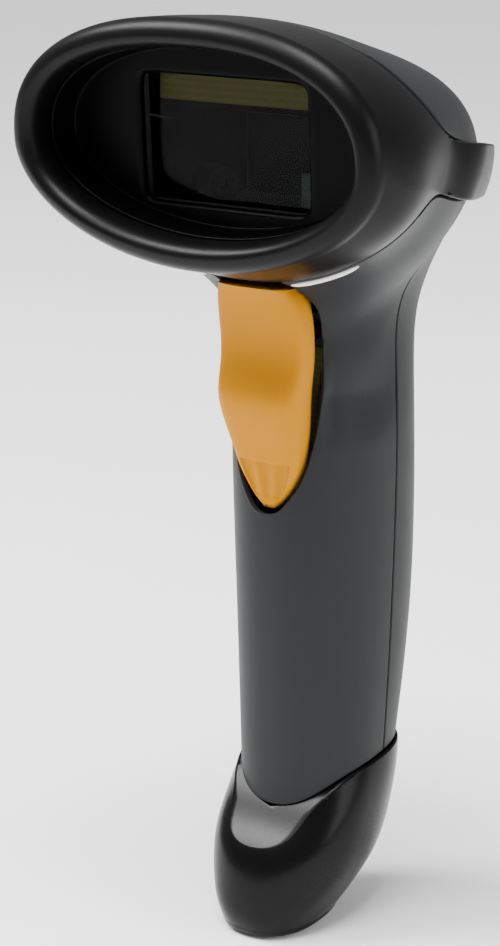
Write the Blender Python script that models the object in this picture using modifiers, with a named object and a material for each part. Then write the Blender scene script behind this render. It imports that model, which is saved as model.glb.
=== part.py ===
"""Handheld laser barcode scanner, modelled as the pieces it comes apart into.

Frame: +Z up along the handle, the nose points along -Y, X is across, and the origin is the middle of
the grip. Sizes are millimetres, given as (across, forward, up); the helpers turn them into metres.
"""
import math

import bmesh
import bpy
import numpy as np
from mathutils import Matrix, Vector

MM = 0.001
GAP = 0.3                  # clearance between pieces that touch
CAP_WELD = 0.00001         # metres, for welding the loose caps of curves

# Stations of the housing, from the nose to the foot of the handle. Each row is one closed section that
# stands between a lower front point and an upper rear point: place along the housing 0..1, front point
# (forward, up), rear point (forward, up), half width, where between them it is widest 0..1, and how
# round its front and rear halves are (exponent of a superellipse, 2 is an ellipse).
HOUSING = np.array([
    (0.00, 35.0, 60.9, 37.2, 99.5, 34.4, 0.48, 1.97, 2.3),
    (0.12, 29.5, 59.5, 23.8, 98.6, 34.9, 0.43, 2.0, 2.3),
    (0.25, 22.5, 57.5, 8.4, 94.9, 31.7, 0.52, 2.1, 2.3),
    (0.38, 18.5, 55.0, -12.9, 88.4, 27.2, 0.47, 2.1, 2.25),
    (0.50, 16.5, 51.5, -26.2, 77.8, 20.8, 0.46, 2.15, 2.2),
    (0.60, 16.0, 47.0, -28.0, 67.0, 14.8, 0.43, 2.2, 2.2),
    (0.70, 16.2, 40.5, -19.8, 53.5, 13.0, 0.38, 2.2, 2.2),
    (0.80, 17.3, 28.0, -15.9, 35.5, 13.4, 0.50, 2.2, 2.3),
    (0.90, 16.7, -2.0, -15.8, 1.5, 12.8, 0.53, 2.2, 2.4),
    (1.00, 15.2, -40.0, -11.9, -30.1, 11.2, 0.45, 2.2, 2.4),
])
WALL_HEAD, WALL_GRIP = 3.4, 2.3            # housing wall, thicker where the bumper is let in
HOUSING_ROWS, HOUSING_SIDES = 22, 30
CORE_SIDES = 22                            # sides of the hidden inner forms

# The black boot on the foot of the handle, as the same kind of stations.
BOOT = np.array([
    (0.00, 15.9, -29.0, -13.5, -20.0, 11.9, 0.45, 2.2, 2.4),
    (0.20, 18.3, -33.8, -12.9, -26.2, 12.9, 0.45, 2.2, 2.4),
    (0.40, 22.2, -39.2, -11.4, -33.8, 12.9, 0.45, 2.2, 2.4),
    (0.60, 23.9, -45.4, -9.2, -41.0, 11.8, 0.45, 2.2, 2.4),
    (0.78, 24.0, -50.0, -5.4, -46.4, 9.8, 0.45, 2.3, 2.4),
    (0.91, 22.5, -53.6, -0.4, -50.8, 7.6, 0.45, 2.4, 2.4),
    (1.00, 20.8, -55.8, 4.0, -54.0, 5.6, 0.45, 2.5, 2.4),
])
BASE_UP = -53.0                            # height of the boot's flat underside
BOOT_WALL = 2.2
BOOT_LET_IN = 1.2                          # how deep the boot's sleeve is let into the shells
BOOT_TOP = [(-20, -24.3), (1.5, -25.8), (6.0, -26.5), (9.5, -27.6), (13.2, -30.1), (15.5, -32.4), (19, -36)]

# Nose bumper: a rounded rim, side wedges and a band round the back of the head, in side view.
LIP_ROUND, LIP_WIDTH, LIP_DEPTH = 2.9, 4.7, 2.2
BUMPER_PROUD_NOSE, BUMPER_PROUD_BAND = 0.2, 2.8
BUMPER_SUNK_NOSE, BUMPER_SUNK_BAND = 2.0, 0.6
BAND_START, BAND_FULL = 0.25, 0.36         # places along the housing between wedge and band
WEDGE_TOP = [(25.5, 103), (25.3, 96), (23.2, 91.6), (20, 87), (15.5, 83), (10, 80.6), (0, 78.3), (-36, 71.8)]
WEDGE_BOTTOM = [(-36, 63.6), (0, 70.1), (10, 71.9), (17, 73.2), (21.5, 72.4), (25, 69.4), (26, 65),
                (24.6, 61), (23, 57), (22.6, 52)]
PARTING = [(-1, -70), (-1, 74), (14, 76.7), (50, 78)]   # where front and rear shells meet, in side view

# Recess and window in the nose.
RIM_TILT = math.atan2(37.2 - 35.0, 99.5 - 60.9)
RIM_CENTRE = (36.1, 80.2)                  # forward, up
RECESS_DEPTH = 7.5                         # from the housing's first station to the bezel's floor
BEZEL_WALL = 1.4
WINDOW_HALF = (15.7, 10.0)
WINDOW_UP = -0.9                           # window centre above the rim's centre
PANE_THICK, GASKET_THICK, PANE_MARGIN = 1.2, 0.8, 1.5

# Trigger: up, half width, front and back (forward), from its top to its tip.
TRIGGER = np.array([
    (56.8, 6.5, 22.6, 12.8), (54.0, 7.6, 21.3, 12.6), (50.0, 8.1, 20.1, 12.4), (47.0, 8.1, 19.7, 12.2),
    (44.0, 8.0, 19.9, 12.0), (41.0, 7.8, 20.8, 11.9), (38.4, 7.6, 21.4, 11.8), (36.0, 7.4, 21.0, 11.7),
    (33.0, 7.1, 19.9, 11.6), (29.0, 6.4, 18.4, 11.4), (26.0, 5.6, 17.7, 11.2), (23.2, 4.3, 17.1, 11.1),
    (21.2, 2.9, 16.8, 11.2), (19.6, 1.2, 16.4, 11.4),
])
BAY_GAP = 0.7
BAY_TOP = 58.6
PIVOT = (12.8, 58.8)                       # forward, up
PIN_R, PIN_HALF = 1.0, 9.4
BOSS_R, BOSS_LEFT, BOSS_RIGHT = 2.6, 6.6, 3.6    # the spring takes the rest of the right-hand side
PIN_HOLE_R = 1.12
EAR_INNER, EAR_OUTER = 7.3, 9.8
SWITCH_UP = 46.8                           # 12 mm below the pivot
SWITCH_SIZE = 6.0

# Main board, standing in the handle.
BOARD_FRONT, BOARD_THICK, BOARD_HALF = -2.0, 1.4, 7.9
BOARD_LOW, BOARD_HIGH = -43.0, 54.0
HOUSING_SCREWS = (("lower", -20.0), ("upper", 10.0))
HOUSING_SCREW_SEAT = -8.4                  # forward position of the counterbores' floors
BOARD_SCREWS = (("left", -5.4), ("right", 5.4))
BOARD_SCREW_UP = -1.0
BEEPER_UP = -9.6

# Scan engine in the head.
ENGINE_LOW, ENGINE_HIGH, ENGINE_HALF = 66.5, 81.4, 18.0
ENGINE_BACK, ENGINE_FRONT = -6.0, 23.2
ENGINE_WALL = 1.5
SHAFT_FORWARD = 5.0
POST = (14.0, 17.5)                        # across, forward of the two engine posts
SOCKET_HALF, SOCKET_BACK, SOCKET_FRONT = 7.1, -1.7, 9.4
SOCKET_LOW, SOCKET_HIGH = -44.5, -29.0
JACK_HALF, JACK_BACK, JACK_FRONT = 5.9, 0.6, 7.4   # a ten-way modular jack
JACK_TOP = -31.5


# ---- helpers -------------------------------------------------------------------------------------
def clear_scene():
    for obj in list(bpy.data.objects):
        bpy.data.objects.remove(obj, do_unlink=True)


def new_collection(name, hidden=False):
    made = bpy.data.collections.new(name)
    made.hide_render = hidden
    bpy.context.scene.collection.children.link(made)
    return made


clear_scene()
PARTS = new_collection("handheld_barcode_scanner")
CUTTERS = new_collection("cutters", hidden=True)


def at(across, forward, up):
    """A place given across, forward and up in millimetres, as a vector in metres."""
    return Vector((across * MM, -forward * MM, up * MM))


def material(name, colour, roughness, metallic=0.0):
    made = bpy.data.materials.new(name)
    made.use_nodes = True
    shader = made.node_tree.nodes["Principled BSDF"]
    shader.inputs["Base Color"].default_value = (*colour, 1)
    shader.inputs["Roughness"].default_value = roughness
    shader.inputs["Metallic"].default_value = metallic
    return made


FINISH = {
    "charcoal": material("charcoal_shell", (0.045, 0.048, 0.049), 0.5),
    "black": material("black_bumper", (0.008, 0.008, 0.009), 0.4),
    "hood": material("black_hood", (0.006, 0.006, 0.007), 0.25),
    "boot": material("black_boot", (0.009, 0.009, 0.010), 0.3),
    "amber": material("amber_trigger", (0.72, 0.30, 0.022), 0.45),
    "pale": material("pale_trim", (0.78, 0.77, 0.74), 0.4),
    "glass": material("window_glass", (0.05, 0.055, 0.05), 0.05),
    "teal": material("teal_filter", (0.05, 0.35, 0.32), 0.15),
    "steel": material("bright_steel", (0.6, 0.6, 0.6), 0.3, 1.0),
    "zinc": material("die_cast_zinc", (0.35, 0.35, 0.36), 0.45, 1.0),
    "brass": material("brass", (0.7, 0.5, 0.2), 0.3, 1.0),
    "copper": material("copper_winding", (0.65, 0.28, 0.12), 0.35, 1.0),
    "mirror": material("front_mirror", (0.85, 0.86, 0.86), 0.04, 1.0),
    "board": material("olive_board", (0.13, 0.15, 0.03), 0.5),
    "chip": material("chip_black", (0.02, 0.02, 0.02), 0.5),
    "flex": material("flex_amber", (0.45, 0.2, 0.03), 0.35),
    "rubber": material("black_rubber", (0.02, 0.02, 0.02), 0.75),
}


def place(obj, name, finish):
    """Names the object, gives it its finish and files it with the parts, or with the cutters."""
    obj.name = name
    for old in list(obj.users_collection):
        old.objects.unlink(obj)
    if finish is None:
        CUTTERS.objects.link(obj)
        obj.hide_render = True
        obj.display_type = "WIRE"
    else:
        PARTS.objects.link(obj)
        obj.data.materials.clear()
        obj.data.materials.append(FINISH[finish])
    return obj


def apply_scale(obj):
    obj.data.transform(Matrix.Diagonal((*obj.scale, 1)))
    obj.scale = (1, 1, 1)
    return obj


def box(name, finish, across, forward, up, bevel=0.0):
    """A block between the given pairs of limits, with rounded edges if bevel is above 0."""
    low, high = np.array([across, forward, up], float).T
    bpy.ops.mesh.primitive_cube_add(size=1, location=at(*((low + high) / 2)))
    obj = place(bpy.context.object, name, finish)
    obj.scale = tuple((high - low) * MM)
    apply_scale(obj)
    if bevel:
        rounding = obj.modifiers.new("edges", "BEVEL")
        rounding.width, rounding.segments = bevel * MM, 1
    return obj


AXIS_TURN = {"x": (0, math.pi / 2, 0), "y": (math.pi / 2, 0, 0), "z": (0, 0, 0)}


def cylinder(name, finish, radius, length, centre, axis, sides=20):
    bpy.ops.mesh.primitive_cylinder_add(
        vertices=sides, radius=radius * MM, depth=length * MM, location=at(*centre), rotation=AXIS_TURN[axis])
    obj = place(bpy.context.object, name, finish)
    obj.data.shade_smooth()
    obj.data.set_sharp_from_angle(angle=math.radians(40))
    return obj


def turned(name, finish, profile, centre, turn=(0, 0, 0), sides=20):
    """A turned piece. The profile (radius, height) runs down its outer side, from axis to axis."""
    mesh = bpy.data.meshes.new(name)
    edges = [(i, i + 1) for i in range(len(profile) - 1)]
    mesh.from_pydata([(r * MM, 0, h * MM) for r, h in profile], edges, [])
    obj = place(bpy.data.objects.new(name, mesh), name, finish)
    obj.location, obj.rotation_euler = at(*centre), turn
    screw = obj.modifiers.new("turn", "SCREW")
    screw.steps = screw.render_steps = sides
    screw.use_merge_vertices, screw.merge_threshold = True, CAP_WELD
    return obj


def curve_to_mesh(obj, name, finish):
    """The curve as a mesh with welded caps, in the same place; the curve is removed."""
    bpy.context.view_layer.update()
    evaluated = obj.evaluated_get(bpy.context.evaluated_depsgraph_get())
    mesh = bpy.data.meshes.new_from_object(evaluated)
    work = bmesh.new()
    work.from_mesh(mesh)
    bmesh.ops.remove_doubles(work, verts=work.verts, dist=CAP_WELD)
    bmesh.ops.recalc_face_normals(work, faces=work.faces)
    work.to_mesh(mesh)
    work.free()
    solid = bpy.data.objects.new(name, mesh)
    solid.matrix_world = obj.matrix_world
    bpy.data.objects.remove(obj, do_unlink=True)
    return place(solid, name, finish)


SIDE_VIEW = Matrix(((0, 0, -1, 0), (-1, 0, 0, 0), (0, 1, 0, 0), (0, 0, 0, 1)))
FRONT_VIEW = Matrix(((1, 0, 0, 0), (0, 0, -1, 0), (0, 1, 0, 0), (0, 0, 0, 1)))


def prism(name, finish, outline, middle, half, view):
    """A flat outline given thickness: (forward, up) points in side view, (across, up) in front view."""
    data = bpy.data.curves.new(name, "CURVE")
    data.dimensions, data.fill_mode, data.extrude = "2D", "BOTH", half * MM
    spline = data.splines.new("POLY")
    spline.points.add(len(outline) - 1)
    for point, (a, b) in zip(spline.points, outline):
        point.co = (a * MM, b * MM, 0, 1)
    spline.use_cyclic_u = True
    obj = bpy.data.objects.new(name, data)
    CUTTERS.objects.link(obj)
    obj.matrix_world = Matrix.Translation(at(*middle)) @ view
    return curve_to_mesh(obj, name, finish)


def tube(name, finish, points, radius):
    """A wire of the given radius through points (across, forward, up)."""
    data = bpy.data.curves.new(name, "CURVE")
    data.dimensions, data.bevel_depth, data.bevel_resolution = "3D", radius * MM, 2
    data.use_fill_caps = True
    spline = data.splines.new("POLY")
    spline.points.add(len(points) - 1)
    for point, where in zip(spline.points, points):
        point.co = (*at(*where), 1)
    obj = bpy.data.objects.new(name, data)
    CUTTERS.objects.link(obj)
    return curve_to_mesh(obj, name, finish)


def combine(obj, other, operation):
    step = obj.modifiers.new(f"{operation.lower()}_{other.name}"[:60], "BOOLEAN")
    step.operation, step.object, step.solver = operation, other, "EXACT"
    return obj


def cut(obj, *others):
    for other in others:
        combine(obj, other, "DIFFERENCE")
    return obj


def join(obj, *others):
    for other in others:
        combine(obj, other, "UNION")
    return obj


def keep(obj, region):
    return combine(obj, region, "INTERSECT")


# ---- curves and lofted forms ---------------------------------------------------------------------
def smooth_table(rows, where):
    """Cubic spline through the rows, whose first column is the place, read at the places given."""
    knots, values = rows[:, 0], rows[:, 1:]
    step = np.diff(knots)
    slope = np.diff(values, axis=0) / step[:, None]
    count = len(knots)
    system, right = np.eye(count), np.zeros_like(values)
    for i in range(1, count - 1):
        system[i, i - 1:i + 2] = step[i - 1], 2 * (step[i - 1] + step[i]), step[i]
        right[i] = 6 * (slope[i] - slope[i - 1])
    bend = np.linalg.solve(system, right)
    i = np.clip(np.searchsorted(knots, where, side="right") - 1, 0, count - 2)
    t, h = (where - knots[i])[:, None], step[i][:, None]
    first = slope[i] - h * (2 * bend[i] + bend[i + 1]) / 6
    return values[i] + t * first + t**2 * bend[i] / 2 + t**3 * (bend[i + 1] - bend[i]) / (6 * h)


def smooth_outline(points, count):
    """A smooth line through the points, spaced by their distance apart."""
    points = np.array(points, float)
    run = np.r_[0, np.cumsum(np.hypot(*np.diff(points, axis=0).T))]
    return smooth_table(np.c_[run, points], np.linspace(0, run[-1], count))


def widened(outline, by):
    """The outline moved outwards by the given distance; its points run anticlockwise."""
    outline = np.array(outline)
    along = np.roll(outline, -1, 0) - np.roll(outline, 1, 0)
    out = np.c_[along[:, 1], -along[:, 0]]
    return outline + by * out / np.linalg.norm(out, axis=1)[:, None]


def section(front, rear, half_width, widest, round_front, round_rear, sides):
    """One closed section: two superellipse halves that meet where the section is widest."""
    angle = np.linspace(0, 2 * math.pi, sides, endpoint=False)
    c, q = np.cos(angle), np.sin(angle)
    power = 2 / np.where(c < 0, round_front, round_rear)
    along = np.sign(c) * np.abs(c)**power
    part = widest + np.where(c < 0, widest, 1 - widest) * along
    across = half_width * np.sign(q) * np.abs(q)**power
    middle = np.outer(1 - part, front) + np.outer(part, rear)
    return np.c_[across, middle]


def housing_section(row, grow, sides):
    """A section of a station table, grown outwards by grow (inwards if negative)."""
    front, rear = row[0:2], row[2:4]
    along = (rear - front) / np.linalg.norm(rear - front)
    return section(front - grow * along, rear + grow * along, row[4] + grow, *row[5:8], sides)


def nose_section(depth, inset, sides):
    """The housing's first section, moved back by depth and in by inset."""
    row = HOUSING[0, 1:].copy()
    along = (row[2:4] - row[0:2]) / np.linalg.norm(row[2:4] - row[0:2])
    back = np.array([-along[1], along[0]])
    row[0:2] += depth * back
    row[2:4] += depth * back
    return housing_section(row, -inset, sides)


def stations(table, places, grow, sides):
    rows = smooth_table(table, places)
    return [housing_section(row, g, sides) for row, g in zip(rows, grow)]


def loft(name, finish, rings):
    """A closed solid through the rings, each ring a list of (across, forward, up)."""
    count, sides = len(rings), len(rings[0])
    points = np.vstack(rings) * (MM, -MM, MM)
    first, side = np.meshgrid(np.arange(count - 1), np.arange(sides), indexing="ij")
    here, beside = first * sides + side, first * sides + (side + 1) % sides
    walls = np.stack([here, beside, beside + sides, here + sides], -1).reshape(-1, 4)
    caps = [tuple(range(sides)), tuple(range((count - 1) * sides, count * sides))]
    mesh = bpy.data.meshes.new(name)
    mesh.from_pydata(points, [], walls.tolist() + caps)
    work = bmesh.new()
    work.from_mesh(mesh)
    bmesh.ops.triangulate(work, faces=work.faces)
    bmesh.ops.recalc_face_normals(work, faces=work.faces)
    work.to_mesh(mesh)
    work.free()
    obj = place(bpy.data.objects.new(name, mesh), name, finish)
    obj.data.shade_smooth()
    obj.data.set_sharp_from_angle(angle=math.radians(35))
    return obj


def blend(low, high, start, end, places):
    """A value that goes smoothly from low at start to high at end."""
    t = np.clip((places - start) / (end - start), 0, 1)
    return low + (high - low) * t * t * (3 - 2 * t)


# ---- housing and bumper --------------------------------------------------------------------------
def housing_form(name, finish, grow):
    places = np.linspace(0, 1, HOUSING_ROWS)
    return loft(name, finish, stations(HOUSING, places, np.full(HOUSING_ROWS, grow), HOUSING_SIDES))


def hollow_form():
    """The space inside the housing, running out past its open nose and its open foot."""
    places, sides = np.linspace(0, 1, 15), 20
    wall = blend(WALL_HEAD, WALL_GRIP, 0.35, 0.6, places)
    rings = stations(HOUSING, places, -wall, sides)
    ahead = [nose_section(-6, WALL_HEAD, sides)]
    below = [rings[-1] - (0, 0, 15)]
    return loft("hollow_form", None, ahead + rings + below)


def bumper_shape(kind, extra=0.0):
    """Growth of the bumper's outer or inner surface along the housing."""
    values = {"outer": (BUMPER_PROUD_NOSE, BUMPER_PROUD_BAND),
              "inner": (-BUMPER_SUNK_NOSE, -BUMPER_SUNK_BAND)}
    near, far = values[kind]
    return lambda places: blend(near, far, BAND_START, BAND_FULL, places) + extra


def wedge_outline():
    """Side view of everything that is bumper: rim, wedge and rear band."""
    back_top, bottom = smooth_outline(WEDGE_TOP, 18), smooth_outline(WEDGE_BOTTOM, 20)
    front = [(50, 52), (50, 103)]
    return np.vstack([back_top, bottom, front])


def seat_cutter():
    """What the shells lose so that the bumper lies flush in them: the wedge, outside its inner skin."""
    region = prism("seat_region", None, widened(wedge_outline(), GAP), (0, 0, 0), 45, SIDE_VIEW)
    places = np.linspace(0.06, 0.72, 14)
    grow = bumper_shape("inner", -GAP)(places)
    rings = [nose_section(LIP_DEPTH + GAP, BUMPER_SUNK_NOSE + GAP, CORE_SIDES)]
    rings += stations(HOUSING, places, grow, CORE_SIDES)
    return cut(region, loft("seat_core", None, rings))


def nose_bumper():
    sides = HOUSING_SIDES
    rounding = np.radians(np.linspace(90, 0, 4))
    lip = [nose_section(-LIP_ROUND * math.sin(a), LIP_ROUND * (1 - math.cos(a)) - BUMPER_PROUD_NOSE, sides)
           for a in rounding[:-1]]
    places = np.linspace(0, 0.68, 15)
    skin = stations(HOUSING, places, bumper_shape("outer")(places), sides)
    bumper = loft("nose_bumper", "black", lip + skin)
    keep(bumper, prism("bumper_region", None, wedge_outline(), (0, 0, 0), 45, SIDE_VIEW))
    places = np.linspace(0.06, 0.72, 14)
    inner = [nose_section(LIP_DEPTH, BUMPER_SUNK_NOSE, CORE_SIDES)]
    inner += stations(HOUSING, places, bumper_shape("inner")(places), CORE_SIDES)
    opening = [(-4.5, 3.3), (-2.6, 3.6), (-1.5, 4.2), (-0.4, LIP_WIDTH - 0.1), (LIP_DEPTH + 4, LIP_WIDTH)]
    cut(bumper, loft("bumper_core", None, inner))
    cut(bumper, loft("bumper_opening", None, [nose_section(d, i, HOUSING_SIDES) for d, i in opening]))
    return bumper


def parting_regions():
    low, high, behind, ahead = -70, 120, -60, 50
    front = PARTING + [(ahead, low)]
    upright = [(a - GAP, b) for a, b in PARTING[:1]] + [(PARTING[1][0] - GAP, PARTING[1][1] + GAP)]
    sloping = [(a, b + GAP) for a, b in PARTING[2:]]
    rear = upright + sloping + [(ahead, high), (behind, high), (behind, low)]
    return (prism("front_region", None, front, (0, 0, 0), 60, SIDE_VIEW),
            prism("rear_region", None, rear, (0, 0, 0), 60, SIDE_VIEW))


def boot_region(grow=0.0):
    """Side view of everything below the boot's top edge."""
    top = [(a, b + grow) for a, b in BOOT_TOP[::-1]]
    low = BASE_UP - 10 * grow
    return top + [(-30, BOOT_TOP[0][1] + grow), (-30, low), (40, low), (40, BOOT_TOP[-1][1] + grow)]


def foot_seat():
    """What the shells lose at the foot, so that the boot's sleeve lies flush with them."""
    region = prism("foot_region", None, boot_region(GAP), (0, 0, 0), 30, SIDE_VIEW)
    return cut(region, housing_form("foot_core", None, -BOOT_LET_IN))


def trim_path(side):
    """The pale strip's line in the seam under the nose."""
    t = np.linspace(0, 1, 7)
    angle, places = np.radians(166 - 26 * t), 0.262 - 0.055 * t
    rows = smooth_table(HOUSING, places)
    points = []
    for row, a in zip(rows, angle):
        ring = housing_section(row, 0.1, 720)
        points.append(ring[int(round(math.degrees(a) * 2))] * (side, 1, 1))
    return points


def front_bay():
    """Opening for the trigger, its outline in front view with the bay's gap all round."""
    up, half = TRIGGER[:, 0], TRIGGER[:, 1] + BAY_GAP
    right = [(half[0], BAY_TOP)] + list(zip(half, up)) + [(half[-1] * 0.6, up[-1] - BAY_GAP)]
    outline = right + [(-a, b) for a, b in reversed(right)]
    return prism("trigger_bay", None, outline, (0, 19, 0), 11, FRONT_VIEW)


def screw_boss(name, up, radius, low, high):
    return cylinder(name, None, radius, high - low, (0, (high + low) / 2, up), "y", 24)


def ears(trim):
    made = []
    for side in (-1, 1):
        ear = box(f"ear_{side}", None, sorted((side * EAR_INNER, side * EAR_OUTER)), (9.6, 24), (55.4, 62.4))
        made.append(keep(ear, trim))
    return made


def shells(seat):
    hollow, trim = hollow_form(), housing_form("trim_form", None, -1.2)
    front_region, rear_region = parting_regions()
    foot = foot_seat()
    front = cut(keep(housing_form("front_shell", "charcoal", 0), front_region), hollow, seat, foot)
    rear = cut(keep(housing_form("rear_shell", "charcoal", 0), rear_region), hollow, seat, foot)
    join(front, *ears(trim))
    for side in (-1, 1):
        post = cylinder(f"engine_post_{side}", None, 2.5, 12, (side * POST[0], POST[1], 58.2), "z")
        join(front, keep(post, trim))
    for side, across in BOARD_SCREWS:
        near, far = BOARD_FRONT + GAP, 16.0
        where = (across, (near + far) / 2, BOARD_SCREW_UP)
        join(front, keep(cylinder(f"board_post_{side}", None, 2.2, far - near, where, "y"), trim))
    for name, up in HOUSING_SCREWS:
        join(front, keep(screw_boss(f"front_boss_{name}", up, 2.9, -1, 18), trim))
        join(rear, keep(screw_boss(f"rear_boss_{name}", up, 2.9, -20, -1 - GAP), trim))
        join(rear, keep(screw_boss(f"rear_cup_{name}", up, 4.2, -20, -7.2), trim))
        cut(front, screw_boss(f"pilot_{name}", up, 1.4, -4, 9))
        cut(rear, screw_boss(f"clearance_{name}", up, 1.7, -20, 2))
        cut(rear, screw_boss(f"counterbore_{name}", up, 3.0, -24, HOUSING_SCREW_SEAT))
    cut(front, front_bay(), cylinder("ear_holes", None, PIN_HOLE_R, 2 * PIN_HALF + 0.6, (0, *PIVOT), "x"))
    for side in (-1, 1):
        cut(front, cylinder(f"post_hole_{side}", None, 1.1, 8, (side * POST[0], POST[1], 62), "z"))
        groove = tube(f"trim_groove_{side}", None, trim_path(side), 0.85)
        cut(front, groove)
    for side, across in BOARD_SCREWS:
        where = (across, BOARD_FRONT + 4, BOARD_SCREW_UP)
        cut(front, cylinder(f"board_pilot_{side}", None, 1.1, 10, where, "y"))
    return front, rear


def trim_strips(bumper):
    for side, word in ((-1, "left"), (1, "right")):
        tube(f"seam_trim_{word}", "pale", trim_path(side), 0.5)
        cut(bumper, tube(f"bumper_groove_{word}", None, trim_path(side), 0.85))


# ---- nose recess and window ----------------------------------------------------------------------
def window_frame():
    """An empty at the window's centre on the bezel's floor, tilted with the rim."""
    empty = bpy.data.objects.new("window_frame", None)
    PARTS.objects.link(empty)
    back = np.array([-math.cos(RIM_TILT), math.sin(RIM_TILT)])
    along = np.array([math.sin(RIM_TILT), math.cos(RIM_TILT)])
    centre = np.array(RIM_CENTRE) + RECESS_DEPTH * back + WINDOW_UP * along
    empty.location = at(0, *centre)
    empty.rotation_euler = (RIM_TILT, 0, 0)
    bpy.context.view_layer.update()
    return empty


def pane(name, finish, half, depth, thick, frame, bevel=0.0):
    """A flat plate behind the bezel's floor, in the tilted window frame."""
    obj = box(name, finish, (-half[0], half[0]), (-depth - thick, -depth), (-half[1], half[1]), bevel)
    obj.parent = frame
    return obj


def nose_recess():
    sides, floor, wall = 28, RECESS_DEPTH, BEZEL_WALL
    outer = [(LIP_DEPTH + GAP, 4.1), (LIP_DEPTH + 1.6, 4.1), (LIP_DEPTH + 2.2, 4.2 + wall - 0.6),
             (floor, 6.9 - wall + 0.6), (floor + wall, 6.9 - wall + 0.9)]
    inner = [(-1, 4.9), (LIP_DEPTH + GAP, 5.0), (floor, 7.2)]
    bezel = loft("window_bezel", "hood", [nose_section(d, i, sides) for d, i in outer])
    cut(bezel, loft("funnel", None, [nose_section(d, i, sides) for d, i in inner]))
    frame = window_frame()
    cut(bezel, pane("window_hole", None, WINDOW_HALF, -2, 6, frame))
    pane_half = (WINDOW_HALF[0] + PANE_MARGIN, WINDOW_HALF[1] + PANE_MARGIN)
    behind = BEZEL_WALL + GAP
    gasket = pane("window_gasket", "rubber", pane_half, behind, GASKET_THICK, frame)
    cut(gasket, pane("gasket_hole", None, WINDOW_HALF, behind - 1, 3, frame))
    pane("scan_window", "glass", pane_half, behind + GASKET_THICK + GAP, PANE_THICK, frame, 0.2)


# ---- trigger -------------------------------------------------------------------------------------
def pivot_empty(name, forward, up):
    empty = bpy.data.objects.new(name, None)
    PARTS.objects.link(empty)
    empty.location = at(0, forward, up)
    bpy.context.view_layer.update()
    return empty


def hang_on(empty, obj):
    """Parents the object to the empty without moving it."""
    bpy.context.view_layer.update()
    obj.parent = empty
    obj.matrix_parent_inverse = empty.matrix_world.inverted()


def trigger():
    table = np.c_[np.linspace(0, 1, len(TRIGGER)), TRIGGER]
    rings = []
    for up, half, front, back in smooth_table(table, np.linspace(0, 1, 18)):
        rings.append(section((front, up), (back, up), half, 0.42, 2.8, 3.0, 20))
    lever = loft("trigger", "amber", rings)
    join(lever, box("trigger_neck", None, (-5.6, 3.4), (12.2, 16.6), (54.5, 59.6)))
    middle = ((BOSS_RIGHT - BOSS_LEFT) / 2, *PIVOT)
    join(lever, cylinder("trigger_hub", None, BOSS_R, BOSS_LEFT + BOSS_RIGHT, middle, "x", 24))
    join(lever, box("trigger_arm", None, (-2, 2), (7.1, 13.2), (SWITCH_UP - 1.6, SWITCH_UP + 1.6)))
    cut(lever, cylinder("hub_bore", None, PIN_HOLE_R, 30, (0, *PIVOT), "x"))
    hang_on(pivot_empty("trigger_axis", *PIVOT), lever)
    cylinder("trigger_pin", "steel", PIN_R, 2 * PIN_HALF, (0, *PIVOT), "x")


def trigger_spring():
    """Torsion spring on the pin: one leg bears on the trigger's back, one on the shell above."""
    turns, radius, per_turn = 3.5, 1.45, 8
    angle = np.linspace(-0.5 * math.pi, -0.5 * math.pi + 2 * math.pi * turns, int(per_turn * turns) + 1)
    across = np.linspace(4.3, 6.5, len(angle))
    forward, up = PIVOT[0] - radius * np.cos(angle), PIVOT[1] + radius * np.sin(angle)
    coil = list(zip(across, forward, up))
    lower = [(4.3, 11.4, PIVOT[1] - 1.8), (4.3, 11.1, 55.0), (4.3, 11.0, 50.0)]
    upper = [(6.5, 11.8, PIVOT[1] + 1.6), (6.5, 9.5, PIVOT[1] + 3.2)]
    tube("trigger_spring", "steel", lower[::-1] + coil + upper, 0.28)


def trigger_switch():
    half, back = SWITCH_SIZE / 2, BOARD_FRONT + GAP
    tall = (SWITCH_UP - half, SWITCH_UP + half)
    body = box("trigger_switch", "chip", (-half, half), (back, back + 5.4), tall, 0.3)
    cut(body, cylinder("plunger_bore", None, 1.8, 6, (0, back + 5, SWITCH_UP), "y"))
    low, high = back + 3.2, 6.8
    cylinder("switch_plunger", "zinc", 1.5, high - low, (0, (low + high) / 2, SWITCH_UP), "y")


# ---- boards --------------------------------------------------------------------------------------
def main_board():
    back, across = BOARD_FRONT - BOARD_THICK, (-BOARD_HALF, BOARD_HALF)
    board = box("main_board", "board", across, (back, BOARD_FRONT), (BOARD_LOW, BOARD_HIGH))
    for name, up in HOUSING_SCREWS:
        cut(board, screw_boss(f"board_hole_{name}", up, 2.9 + GAP, -6, 0))
    for side, across in BOARD_SCREWS:
        cut(board, cylinder(f"screw_hole_{side}", None, 1.2, 6, (across, BOARD_FRONT, BOARD_SCREW_UP), "y"))
        screw(f"board_screw_{side}", 2.0, 1.2, 0.8, 6.5, (across, back - GAP, BOARD_SCREW_UP), "front")
    rear = back - GAP
    box("decoder_chip", "chip", (-6, 6), (rear - 1.6, rear), (36, 48), 0.2)
    box("memory_chip", "chip", (-4, 4), (rear - 1.2, rear), (17.5, 23.5), 0.2)
    box("crystal", "steel", (-5.6, 5.6), (rear - 2.4, rear), (27.5, 31.5), 0.5)
    cylinder("beeper", "chip", 5.6, 4.6, (0, rear - 2.3, BEEPER_UP), "y", 28)
    for word, across in (("left", -3.4), ("right", 3.4)):
        cylinder(f"capacitor_{word}", "zinc", 2.0, 4.0, (across, rear - 2.0, -29.0), "y")


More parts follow.
